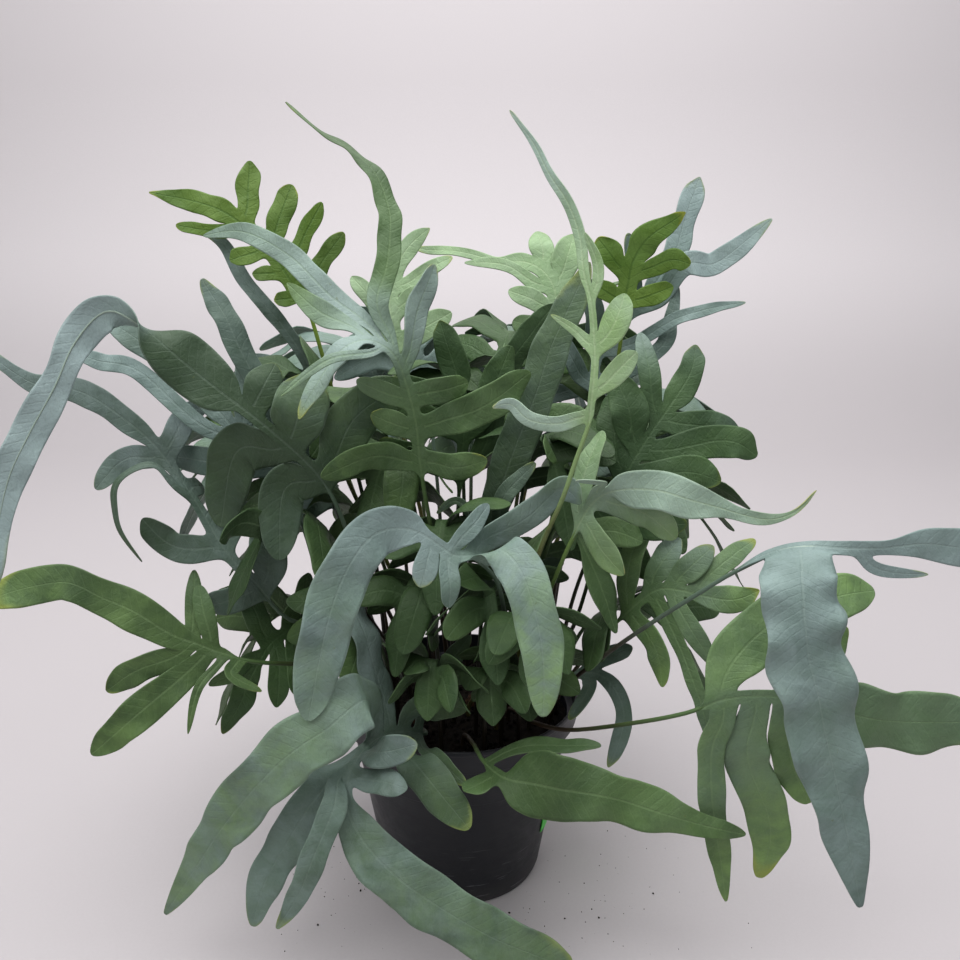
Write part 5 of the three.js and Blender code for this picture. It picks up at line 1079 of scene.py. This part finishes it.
# ---- fine leaves ---------------------------------------------------------------------------
class Blade:
    """Control quads of one blade. Each face corner keeps (across, along) in mm for the veins, (share of the
    half width, share of the length) for the margins and tips, and (paleness, yellowing), where paleness is
    painted light and painted shade."""

    def __init__(self):
        self.points = []
        self.faces = []
        self.veins = []
        self.places = []
        self.light_shade_age = []

    def row(self, positions):
        self.points.extend(positions)
        return list(range(len(self.points) - len(positions), len(self.points)))

    def strip(self, low, high, low_marks, high_marks, flip=False):
        """Quads between two rows. Marks are one (across, along, edge, share, paleness, yellowing) a point,
        where paleness is painted light and shade.
        """
        for k in range(len(low) - 1):
            corners = [(low[k], low_marks[k]), (high[k], high_marks[k])]
            corners += [(high[k + 1], high_marks[k + 1]), (low[k + 1], low_marks[k + 1])]
            if flip:
                corners.reverse()
            self.faces.append([point for point, _ in corners])
            self.veins += [mark[:2] for _, mark in corners]
            self.places += [mark[2:4] for _, mark in corners]
            self.light_shade_age += [mark[4:] for _, mark in corners]


class Ripple:
    """How the two margins of one blade wave, and how its surface arches, drawn once for the blade. Lengths
    and heights are in mm, and the swell and nibble of the margins are shares of the half width."""

    def __init__(self, rng, width, young):
        self.height = (0.06 + 0.06 * rng.random()) * width
        self.length = [rng.uniform(13, 21) + 0.3 * width for _ in range(2)]
        self.start = [rng.uniform(0, CIRCLE) for _ in range(2)]
        self.swell = [rng.uniform(0.04, 0.09) + 0.08 * young for _ in range(2)]
        self.swell_length = [(rng.uniform(14, 24) + 0.5 * width) * (1 - 0.25 * young) for _ in range(2)]
        self.nibble = rng.uniform(0.015, 0.035) + 0.03 * young
        self.nibble_length = [rng.uniform(5.5, 8.5) for _ in range(2)]
        self.roll = rng.uniform(-0.12, 0.05)
        self.lift = rng.uniform(0.3, 0.9)
        self.lift_length = rng.uniform(35, 70)

    def half(self, half, v, along):
        """Half width with its waved margins; v runs from -1 to 1 across the blade."""
        side = 0 if v < 0 else 1
        wave = math.sin(CIRCLE * along / self.swell_length[side] + 2 * self.start[side])
        fine = math.sin(CIRCLE * along / self.nibble_length[side] + 3 * self.start[side])
        return half * (1 + (self.swell[side] * wave + self.nibble * fine) * abs(v))

    def rise(self, half, v, along, room):
        """Height over the flat blade; room is half the width that the wave has."""
        side = 0 if v < 0 else 1
        grown = smooth(along / 14)
        wave = math.sin(CIRCLE * along / self.length[side] + self.start[side])
        slow = self.lift * math.sin(CIRCLE * along / self.lift_length + self.start[0])
        groove = -GROOVE * (1 - abs(v)) ** 2 * min(1, half / GROOVE_FULL)
        margin = self.height * wave * abs(v) ** 1.6 * min(1, half / max(room, 1))
        return grown * (margin + slow + self.roll * half * v * v) + groove


def light_age_at(steps, s):
    """Paleness, which is painted light and shade, and yellowing at s, from steps of (s, paleness, yellowing).
    """
    places = [step[0] for step in steps]
    return tuple(float(np.interp(s, places, [step[k] for step in steps])) for k in (1, 2))


def tip_taper(x, power, blunt):
    """Share of the full width at x, from 1 at 0 to nothing at 1."""
    return (1 - min(max(x, 0.0), 1.0) ** power) ** blunt


def marks_between(low, high, length_of, spacing):
    """Evenly spaced places after low, up to and with high."""
    count = max(1, math.ceil(length_of(low, high) / spacing))
    return [low + (high - low) * k / count for k in range(1, count + 1)]


def add_rib(blade, layout, rng, spacing, age, light_age_steps):
    """The winged rib and the end lobe. Keeps for each slot side the points that its lobe grows from, and
    returns (place, height) steps of the blade's middle line."""
    frond, curve = layout.frond, layout.curve
    start, end, last = frond["blade"], frond["end"], curve.last
    live = [slot for slot in layout.slots if slot["lines"][0] or slot["lines"][1]]
    # The blade widens from the ramp to its full width, and narrows from the taper to its tip.
    ramp = max([slot["to"] for slot in live if slot["to"] < end] + [end - LEAST_END])
    full_from = end + FULL_AFTER
    taper_from = min(frond["wide"][-1][0], last - LEAST_END)
    room = max(width for _, width in frond["wide"]) / 2
    ripple = Ripple(rng, 2 * room, frond["tint"] == "young")
    power, blunt = rng.uniform(1.8, 2.4), rng.uniform(0.55, 0.7)
    wing_half = frond.get("wing", WING_HALF)

    def half_at(s):
        wing = THIN_WING + (wing_half - THIN_WING) * smooth((s - start) / 0.7)
        if s <= ramp:
            return wing
        wide = sum(stepped(frond["wide"], s + shift) for shift in WIDTH_BLUR) / (2 * len(WIDTH_BLUR))
        full = wide * tip_taper((s - taper_from) / (last - taper_from), power, blunt)
        if s >= full_from:
            return full
        return wing + (full - wing) * smooth((s - ramp) / max(full_from - ramp, 0.1))

    places = [min([start] + [slot["from"] - 0.1 for slot in live])]
    for slot in live:
        places += marks_between(places[-1], slot["from"], curve.run, spacing)
        step = (slot["to"] - slot["from"]) / (len(COLUMNS) - 1)
        slot["rows"] = range(len(places) - 1, len(places) - 1 + len(COLUMNS))
        places += [slot["from"] + step * k for k in range(1, len(COLUMNS))]
    places += marks_between(places[-1], taper_from, curve.run, spacing)
    places += [taper_from + (last - taper_from) * share for share in END_TIP_ROWS]
    along = 0.0
    rows = []
    marks = []
    middle = []
    end_run = curve.run(end, last)
    for k, s in enumerate(places):
        if k:
            along += curve.run(places[k - 1], s)
        p, t, c, n = layout.frame(s)
        half = half_at(s)
        share = curve.run(end, s) / end_run + age if s > end else 0
        waved = smooth((s - ramp) / 0.8)
        bend = smooth((s - taper_from) / (last - taper_from))
        positions = []
        for v in COLUMNS:
            reach = ripple.half(half, v, along) if s > ramp else half
            rise = ripple.rise(half, v, along, room) * waved - 0.2 * (1 - waved) * (1 - abs(v))
            back = TIP_BEND * half * v * v * bend
            positions.append(p + c * reach * v + n * rise - t * back)
            if v == 0:
                middle.append((s, rise))
        rows.append(blade.row(positions))
        edge = 1 if s > ramp else WING_EDGE
        here = light_age_at(light_age_steps, s)
        marks.append([(half * v, along, edge * v, share, *here) for v in COLUMNS])
        if k:
            blade.strip(rows[k - 1], rows[k], marks[k - 1], marks[k])
    for slot in live:
        slot["edges"] = [[rows[k][-1] for k in slot["rows"]], [rows[k][0] for k in slot["rows"]]]
    return middle


def add_lobe(blade, line, edge, slot_wide, rng, spacing, young, age, light_age_steps):
    """One lobe, grown from its points along the rib's edge."""
    lobe, run = line.lobe, line.run
    spread = min(LOBE_TAPER, LOBE_SPREAD / run)
    room = lobe["w"] / 2
    ripple = Ripple(rng, lobe["w"], young)
    power, blunt = rng.uniform(2.9, 3.8) + 1.5 * young, rng.uniform(0.44, 0.54)
    if lobe.get("sharp"):
        power, blunt = rng.uniform(1.9, 2.5), rng.uniform(0.54, 0.68)

    def half_at(u):
        if u < spread:
            return (slot_wide + (lobe["w"] - slot_wide) * math.sin(u / spread * math.pi / 2)) / 2
        return room * tip_taper((u - LOBE_TAPER) / (1 - LOBE_TAPER), power, blunt)

    count = max(3, math.ceil(LOBE_BODY * run / spacing))
    shares = [LOBE_BODY * k / count for k in range(1, count + 1)] + LOBE_TIP_ROWS
    low = edge
    low_marks = [(slot_wide / 2 * v, 0, SLOT_EDGE * v, age, *light_age_at(light_age_steps, 0)) for v in COLUMNS]
    for u in shares:
        p, forward, w, n = line.frame(u)
        half = half_at(u)
        along = u * run
        slim = 0.78 + 0.22 * smooth(u / 0.3)
        positions = []
        for v in COLUMNS:
            reach = ripple.half(half, v, along) * (slim if v > 0 else 1)
            back = TIP_BEND * half * v * v * smooth((u - 0.6) / 0.4)
            positions.append(p + w * reach * v + n * ripple.rise(half, v, along, room) - forward * back)
        high = blade.row(positions)
        out = 0.4 + 0.6 * smooth(u / 0.12)
        here = light_age_at(light_age_steps, u)
        high_marks = [(half * v, along, v * out, u + age, *here) for v in COLUMNS]
        blade.strip(low, high, low_marks, high_marks, flip=line.out > 0)
        low, low_marks = high, high_marks


def ring_faces(rings, sides, start=0):
    """Quads between rings of points, and a face at either end."""
    faces = []
    for low in range(start, start + sides * (rings - 1), sides):
        for i in range(sides):
            j = (i + 1) % sides
            faces.append([low + i, low + j, low + sides + j, low + sides + i])
    faces.append([start + sides - 1 - i for i in range(sides)])
    faces.append([start + sides * (rings - 1) + i for i in range(sides)])
    return faces


def stalk_tube(layout, middle):
    """The stalk from the soil and the midrib that it runs on as under the blade, thinning to the tip. Middle
    is the blade's middle line. Also gives for each ring its share of the way to the blade."""
    frond, curve = layout.frond, layout.curve
    _, _, c, _ = layout.frame(0)
    buried = (10, 5)  # depths of two rings in the soil
    centres = [layout.root - np.array([0, 0, depth]) for depth in buried]
    radii = [TUBE_FOOT for _ in buried]
    ups = [c for _ in buried]
    shares = [0 for _ in buried]
    sizes = list(zip((0, frond["blade"], frond["end"], curve.last), TUBE_RADII))
    count = math.ceil(curve.run(0, curve.last) / TUBE_STEP)
    for k in range(count):
        s = curve.last * k / count
        p, _, c, n = layout.frame(s)
        radius = stepped(sizes, s)
        sunk = radius - TUBE_SHOWS - stepped(middle, s)
        centres.append(p - n * sunk * smooth((s - frond["blade"] + 0.2) / 0.7))
        radii.append(radius)
        ups.append(c)
        shares.append(s / frond["blade"])
    points = []
    for k, (p, radius, up) in enumerate(zip(centres, radii, ups)):
        t = unit(centres[min(k + 1, len(centres) - 1)] - centres[max(k - 1, 0)])
        side = square_to(up, t)
        points += [p + spun(side, t, 360 * i / TUBE_SIDES) * radius for i in range(TUBE_SIDES)]
    return points, ring_faces(len(centres), TUBE_SIDES), shares


def new_mesh(name, points, faces, materials=(), smooth_faces=True):
    mesh = bpy.data.meshes.new(name)
    mesh.from_pydata([tuple(float(x) * MM for x in p) for p in points], [], faces)
    for material in materials:
        mesh.materials.append(material)
    if smooth_faces:
        mesh.shade_smooth()
    return mesh


def add_map(mesh, name, values):
    layer = mesh.uv_layers.new(name=name)
    layer.data.foreach_set("uv", np.array(values, np.float32).ravel())


def new_object(name, data):
    piece = bpy.data.objects.new(name, data)
    bpy.context.scene.collection.objects.link(piece)
    return piece


def applied(piece):
    """Makes the modifiers of a piece real."""
    graph = bpy.context.evaluated_depsgraph_get()
    mesh = bpy.data.meshes.new_from_object(piece.evaluated_get(graph))
    piece.modifiers.clear()
    old = piece.data
    piece.data = mesh
    bpy.data.meshes.remove(old)


def joined(pieces, name):
    """One object from several, the first one's material slots first."""
    with bpy.context.temp_override(
        active_object=pieces[0], selected_objects=pieces, selected_editable_objects=pieces
    ):
        bpy.ops.object.join()
    pieces[0].name = name
    pieces[0].data.name = name
    return pieces[0]


def grown_blade(name, layout, rng, front):
    """The control quads of a frond's blade, and (place, height) steps of its middle line."""
    tint = layout.frond["tint"]
    spacing = FRONT_ROWS if front else BACK_ROWS
    fresh = 0 if front else 0.2  # how much younger than the front ones a back frond's tips are
    for slot in layout.slots:
        lines = [LobeLine(layout, slot, side) if slot["lobes"][side] else None for side in (0, 1)]
        slot["lines"] = [line if line and line.found else None for line in lines]
    blade = Blade()
    # Each back frond gets one paleness, painted light and shade, from a range that is darker for the inner
    # ones as painted shade of the crown's inside, and a little yellowing.
    low, high = (-0.9, -0.3) if "inner" in name else (-0.45, 0.2)
    plain = (0, rng.uniform(low, high), rng.uniform(0.0, 0.15))
    light_shade_age = PAINTED_LIGHT_AND_AGE.get(name, {"rib": [plain]})
    middle = add_rib(blade, layout, rng, spacing, light_shade_age.get("age", -fresh), light_shade_age["rib"])
    for k, slot in enumerate(layout.slots):
        if "edges" not in slot:
            continue
        slot_wide = float(np.linalg.norm(layout.curve.at(slot["to"]) - layout.curve.at(slot["from"])))
        base = light_age_at(light_shade_age["rib"], slot["s"])
        for side, (line, edge) in enumerate(zip(slot["lines"], slot["edges"])):
            if line:
                age = rng.uniform(-0.22, 0.0) - fresh
                own = [(1, base[0] + rng.uniform(-0.25, 0.25), base[1] + rng.uniform(0, 0.25))]
                light_age_steps = [(0, *base), *light_shade_age.get((k, side), own)]
                add_lobe(blade, line, edge, slot_wide, rng, spacing, tint == "young", age, light_age_steps)
    return blade, middle


def make_frond(record, front):
    """The finished frond: blade with thickness, and stalk with midrib."""
    name, tint = record["name"], record["tint"]
    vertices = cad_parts[name].data.vertices
    flat = np.empty(len(vertices) * 3)
    vertices.foreach_get("co", flat)
    layout = Layout(record, np.unique(np.round(flat.reshape(-1, 3) / MM, 4), axis=0))
    blade, middle = grown_blade(name, layout, random.Random(name), front)
    mesh = new_mesh(name, blade.points, blade.faces, [LEAF[tint], UNDERSIDE[tint], STALK[tint]])
    for map_name, values in (("veins", blade.veins), ("places", blade.places), ("light_shade_age", blade.light_shade_age)):
        add_map(mesh, map_name, values)
    leaf = new_object(name + "_leaf", mesh)
    finer = leaf.modifiers.new("finer", "SUBSURF")
    finer.levels = finer.render_levels = 2 if front else 1
    finer.uv_smooth = "NONE"
    thick = leaf.modifiers.new("thick", "SOLIDIFY")
    thick.thickness = LEAF_THICKNESS * MM
    thick.offset = 0
    thick.material_offset = 1
    applied(leaf)
    points, faces, shares = stalk_tube(layout, middle)
    tube = new_mesh(name + "_tube", points, faces, [STALK[tint]])
    add_map(tube, "places", [(0, shares[point // TUBE_SIDES]) for face in faces for point in face])
    piece = joined([leaf, new_object(name + "_tube", tube)], name + "_leaf")
    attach(piece, "root")
    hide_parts(name)


# ---- pot, soil and rhizomes ----------------------------------------------------------------
def lathe(name, profile, sectors, material, mound=None):
    """A body turned from (radius, height) points. Mound may change a point's height."""
    points = []
    for radius, z in profile:
        for i in range(sectors):
            angle = CIRCLE * i / sectors
            x, y = radius * math.cos(angle), radius * math.sin(angle)
            points.append((x, y, mound(x, y, z) if mound else z))
    return new_object(name, new_mesh(name, points, ring_faces(len(profile), sectors), [material]))


def wall_radius(z):
    """Outer radius of the pot's wall at a height."""
    return POT_FOOT_RADIUS + (POT_SHOULDER_RADIUS - POT_FOOT_RADIUS) * z / (POT_HEIGHT - LIP_DEPTH)


def rounded(corners, radius, parts=4):
    """A profile whose inner corners are rounded."""
    kept = [np.array(corners[0], float)]
    for before, corner, after in zip(corners, corners[1:], corners[2:]):
        before, corner, after = (np.array(p, float) for p in (before, corner, after))
        cut = min(radius, 0.45 * np.linalg.norm(corner - before), 0.45 * np.linalg.norm(after - corner))
        low = corner + unit(before - corner) * cut
        high = corner + unit(after - corner) * cut
        for k in range(parts + 1):
            u = k / parts
            kept.append(low * (1 - u) ** 2 + corner * 2 * u * (1 - u) + high * u * u)
    kept.append(np.array(corners[-1], float))
    return [tuple(p) for p in kept]


def make_pot():
    shoulder = POT_HEIGHT - LIP_DEPTH
    shelf = shoulder + LIP_WALL
    lip_in = LIP_RADIUS - LIP_WALL
    hub, floor_low, floor_high = 4, 2.2, 3.6  # the floor is raised a little towards its middle
    step_low, step_high, step_out = shoulder - 22, shoulder - 21.4, 0.3  # a fine step round the wall
    corners = [
        (hub, floor_low),
        (POT_FOOT_RADIUS - 5, 1.6),
        (POT_FOOT_RADIUS - 4, 0),
        (POT_FOOT_RADIUS - 0.8, 0),
        (wall_radius(3), 3),
        (wall_radius(step_low), step_low),
        (wall_radius(step_high) + step_out, step_high),
        (POT_SHOULDER_RADIUS, shoulder),
        (LIP_RADIUS - 0.6, shoulder + 0.1),
        (LIP_RADIUS - 0.2, POT_HEIGHT - 2.2),
        (LIP_RADIUS, POT_HEIGHT - 1.8),
        (LIP_RADIUS - 0.3, POT_HEIGHT),
        (lip_in, POT_HEIGHT),
        (lip_in - 0.5, shelf),
        (POT_SHOULDER_RADIUS - POT_WALL, shelf),
        (wall_radius(60) - POT_WALL, 60),
        (wall_radius(6) - POT_WALL, 6),
        (hub, floor_high),
    ]
    pot = lathe("pot_body", rounded(corners, 0.7), 160, pot_material())
    drills = []
    for k in range(DRAIN_COUNT):
        angle = CIRCLE * (k + 0.5) / DRAIN_COUNT
        ring = [(DRAIN_RADIUS, -3), (DRAIN_RADIUS, 8)]
        drill = lathe(f"drill_{k}", ring, 24, pot.data.materials[0])
        drill.location = (DRAIN_RING * math.cos(angle) * MM, DRAIN_RING * math.sin(angle) * MM, 0)
        cut = pot.modifiers.new(f"drain_{k}", "BOOLEAN")
        cut.object = drill
        cut.operation = "DIFFERENCE"
        cut.solver = "EXACT"
        drills.append(drill)
    bpy.context.view_layer.update()
    applied(pot)
    for drill in drills:
        bpy.data.objects.remove(drill)
    pot.data.set_sharp_from_angle(angle=math.radians(38))
    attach(pot, "root")
    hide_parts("pot")


CRUMB_SIDES = 5
CRUMB_RINGS = ((-0.8, 0.5), (0, 1), (0.75, 0.6))  # height and radius, as shares of half its size


def add_crumb(rng, centre, size, points, faces):
    """Adds one rough crumb of about size mm to the points and faces."""
    start = len(points)
    stretch = [rng.uniform(0.7, 1.2) * size / 2 for _ in range(3)]
    turn = rng.uniform(0, math.pi)
    for lift, radius in CRUMB_RINGS:
        for i in range(CRUMB_SIDES):
            angle = turn + CIRCLE * (i + 0.5 * (lift == 0)) / CRUMB_SIDES
            swell = rng.uniform(0.75, 1.15)
            x = centre[0] + stretch[0] * radius * swell * math.cos(angle)
            y = centre[1] + stretch[1] * radius * swell * math.sin(angle)
            points.append((x, y, centre[2] + stretch[2] * lift))
    faces += ring_faces(len(CRUMB_RINGS), CRUMB_SIDES, start)


SOIL_RADIUS = 54.2  # at its rim, just inside the wall
SOIL_RINGS = 60  # from the rim to the middle
SOIL_GAP = 0.4  # between the soil and the wall
CRUMB_COUNT = 420
CRUMB_REACH = 51  # from the pot's axis


def make_soil():
    material = soil_material("soil_peat", "0d0b09", "1c1713", "5a5044")

    def mound(x, y, z):
        if z < SOIL_TOP - 4:
            return z
        coarse = noise.fractal((x / 16, y / 16, 3.0), 0.9, 2.1, 3)
        fine = noise.fractal((x / 4, y / 4, 7.0), 0.8, 2.2, 4)
        return z + 1.0 * coarse + 0.9 * fine

    profile = [(wall_radius(z) - POT_WALL - SOIL_GAP, z) for z in (2.2, 30, 60, 82)]
    for k in range(SOIL_RINGS):
        profile.append((SOIL_RADIUS * (1 - (k / SOIL_RINGS) ** 1.1), SOIL_TOP - 3.4 + 3 * smooth(k / 8)))
    body = lathe("soil_body", profile, 150, material, mound)
    rng = random.Random("crumbs")
    points, faces = [], []
    for _ in range(CRUMB_COUNT):
        angle, reach = rng.uniform(0, CIRCLE), CRUMB_REACH * math.sqrt(rng.random())
        x, y = reach * math.cos(angle), reach * math.sin(angle)
        size = rng.uniform(1.2, 3.8)
        add_crumb(rng, (x, y, mound(x, y, SOIL_TOP - 0.4) + 0.2 * size), size, points, faces)
    crumbs = new_object("soil_crumbs", new_mesh("soil_crumbs", points, faces, [material], smooth_faces=False))
    soil = joined([body, crumbs], "soil_top")
    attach(soil, "root")
    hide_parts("soil")


RHIZOMES = {
    "rhizome_east": ([(3, 4, 88), (13, 2, 90), (24, 4, 90), (33, 10, 88)], 4.6),
    "rhizome_west": ([(-9, -9, 88), (-19, -10, 90), (-29, -17, 88)], 4),
}
RHIZOME_PARTS, RHIZOME_SIDES = 60, 24
SCALE_COUNT = 90


def make_rhizome(name, stops, radius, material):
    """A rough creeping stem with short papery scales that stand off it."""
    stops = [np.array(p, float) for p in stops]
    curve = Spline([2 * stops[0] - stops[1], *stops, 2 * stops[-1] - stops[-2]])
    rng = random.Random(name)
    across = carried(curve, square_to(UP, unit(curve.slope(0))))
    points = []
    for k in range(RHIZOME_PARTS + 1):
        s = curve.last * k / RHIZOME_PARTS
        t = unit(curve.slope(s))
        end = min(k, RHIZOME_PARTS - k) / 5
        swell = (0.5 + 0.5 * smooth(end)) * (0.97 + 0.06 * math.sin(4 * s))
        for i in range(RHIZOME_SIDES):
            rough = rng.uniform(0.93, 1.05)
            points.append(curve.at(s) + spun(across(s), t, 360 * i / RHIZOME_SIDES) * radius * swell * rough)
    faces = ring_faces(RHIZOME_PARTS + 1, RHIZOME_SIDES)
    for _ in range(SCALE_COUNT):
        s, turn = rng.uniform(0.1, curve.last - 0.1), rng.uniform(0, 360)
        t = unit(curve.slope(s))
        out = spun(across(s), t, turn)
        foot = curve.at(s) + out * radius * 0.9
        wide = np.cross(t, out) * 0.45
        tip = foot + out * rng.uniform(0.8, 1.5) + t * rng.uniform(-1.5, 1.5)
        start = len(points)
        points += [foot - wide, foot + wide, tip, foot + t * 0.2]
        for corners in ((0, 1, 2), (0, 3, 1), (0, 2, 3), (1, 3, 2)):
            faces.append([start + corner for corner in corners])
    stem = new_object(name + "_stem", new_mesh(name + "_stem", points, faces, [material]))
    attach(stem, "root")
    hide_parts(name)


# ---- the object ----------------------------------------------------------------------------
for record in FRONDS:
    make_frond(record, front=True)
for row in BACK_FRONDS:
    make_frond(ruled(*row), front=False)
make_pot()
make_soil()
rhizome_skin = rhizome_material()
for name, (stops, radius) in RHIZOMES.items():
    make_rhizome(name, stops, radius, rhizome_skin)
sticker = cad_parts["pot_sticker"]
sticker.data.materials.clear()
sticker.data.materials.append(sticker_material())

# ---- floor, light and camera ----------------------------------------------------------------
SHEET_HALF = 2600  # the paper sheet that the plant stands on: its half width, bend behind, and top
SHEET_FRONT, SHEET_BACK, SHEET_BEND, SHEET_TOP = -2200, 760, 500, 2400
# Litter beside the pot: x, y, spread and number of crumbs.
LITTER = [(-68, -20, 26, 60), (52, -48, 30, 70), (96, -10, 30, 34), (-30, -86, 22, 20)]
# Lamps in metres: place, aim, size, power in watts, colour.
LAMPS = {
    "top": ((0.0, 0.0, 1.35), (0, 0.0, 0.2), 1.5, 19, (1.0, 1.0, 1.0)),
    "key": ((-0.6, -0.8, 1.3), (0, 0, 0.2), 0.9, 7, (1.0, 0.99, 0.98)),
    "back": ((0.1, 0.9, 1.3), (0, 0.2, 0.2), 1.2, 5, (1.0, 1.0, 1.0)),
    "wall": ((0.0, 0.2, 1.5), (0, 1.26, 0.8), 1.0, 6.6, (1.0, 1.0, 1.0)),
}
SKY = (0.96, 0.97, 1.0, 1)
SKY_STRENGTH = 0.32
LENS = 36  # mm, also the width of the sensor


def make_backdrop():
    """A pale sheet that lies under the pot and curves up behind it."""
    profile = [(SHEET_FRONT, 0), (-600, 0), (500, 0), (SHEET_BACK, 0)]
    for angle in np.linspace(0.1, math.pi / 2, 12):
        profile.append((SHEET_BACK + SHEET_BEND * math.sin(angle), SHEET_BEND - SHEET_BEND * math.cos(angle)))
    profile.append((SHEET_BACK + SHEET_BEND, SHEET_TOP))
    points = [(x, y, z) for y, z in profile for x in (-SHEET_HALF, SHEET_HALF)]
    faces = [[2 * k, 2 * k + 1, 2 * k + 3, 2 * k + 2] for k in range(len(profile) - 1)]
    sheet = new_object("backdrop", new_mesh("backdrop", points, faces, [stage_material()]))


def make_litter():
    """Crumbs of soil that fell beside the pot."""
    rng = random.Random("litter")
    points, faces = [], []
    for x, y, spread, count in LITTER:
        for _ in range(count):
            size = rng.uniform(0.2, 0.7) * (1 + (rng.random() < 0.1))
            place = (rng.gauss(x, spread), rng.gauss(y, spread * 0.7), 0.3 * size)
            if math.hypot(place[0], place[1]) > POT_FOOT_RADIUS + 3:
                add_crumb(rng, place, size, points, faces)
    skin = soil_material("litter_peat", "2a2420", "3d352e", "6d655a")
    litter = new_object("litter", new_mesh("litter", points, faces, [skin], smooth_faces=False))


def make_lamp(name, place, aim, size, power, colour):
    lamp = bpy.data.lights.new(name, "AREA")
    lamp.shape = "SQUARE"
    lamp.size = size
    lamp.energy = power
    lamp.color = colour
    piece = new_object(name, lamp)
    piece.location = place
    way = np.array(aim, float) - np.array(place, float)
    piece.rotation_euler = Vector(way).to_track_quat("-Z", "Y").to_euler()


make_backdrop()
make_litter()
for name, settings in LAMPS.items():
    make_lamp(name, *settings)
world = bpy.data.worlds.new("studio")
world.use_nodes = True
world.node_tree.nodes["Background"].inputs["Color"].default_value = SKY
world.node_tree.nodes["Background"].inputs["Strength"].default_value = SKY_STRENGTH
scene = bpy.context.scene
scene.world = world
scene.view_settings.view_transform = "Standard"
scene.view_settings.look = "None"

lens = bpy.data.cameras.new("camera")
lens.sensor_width = LENS
lens.lens = LENS
lens.clip_start = 0.02
camera = new_object("camera", lens)
camera.location = tuple(float(x) * MM for x in EYE)
camera.rotation_euler = (math.pi / 2 - LOOK_DOWN, 0, 0)
scene.camera = camera
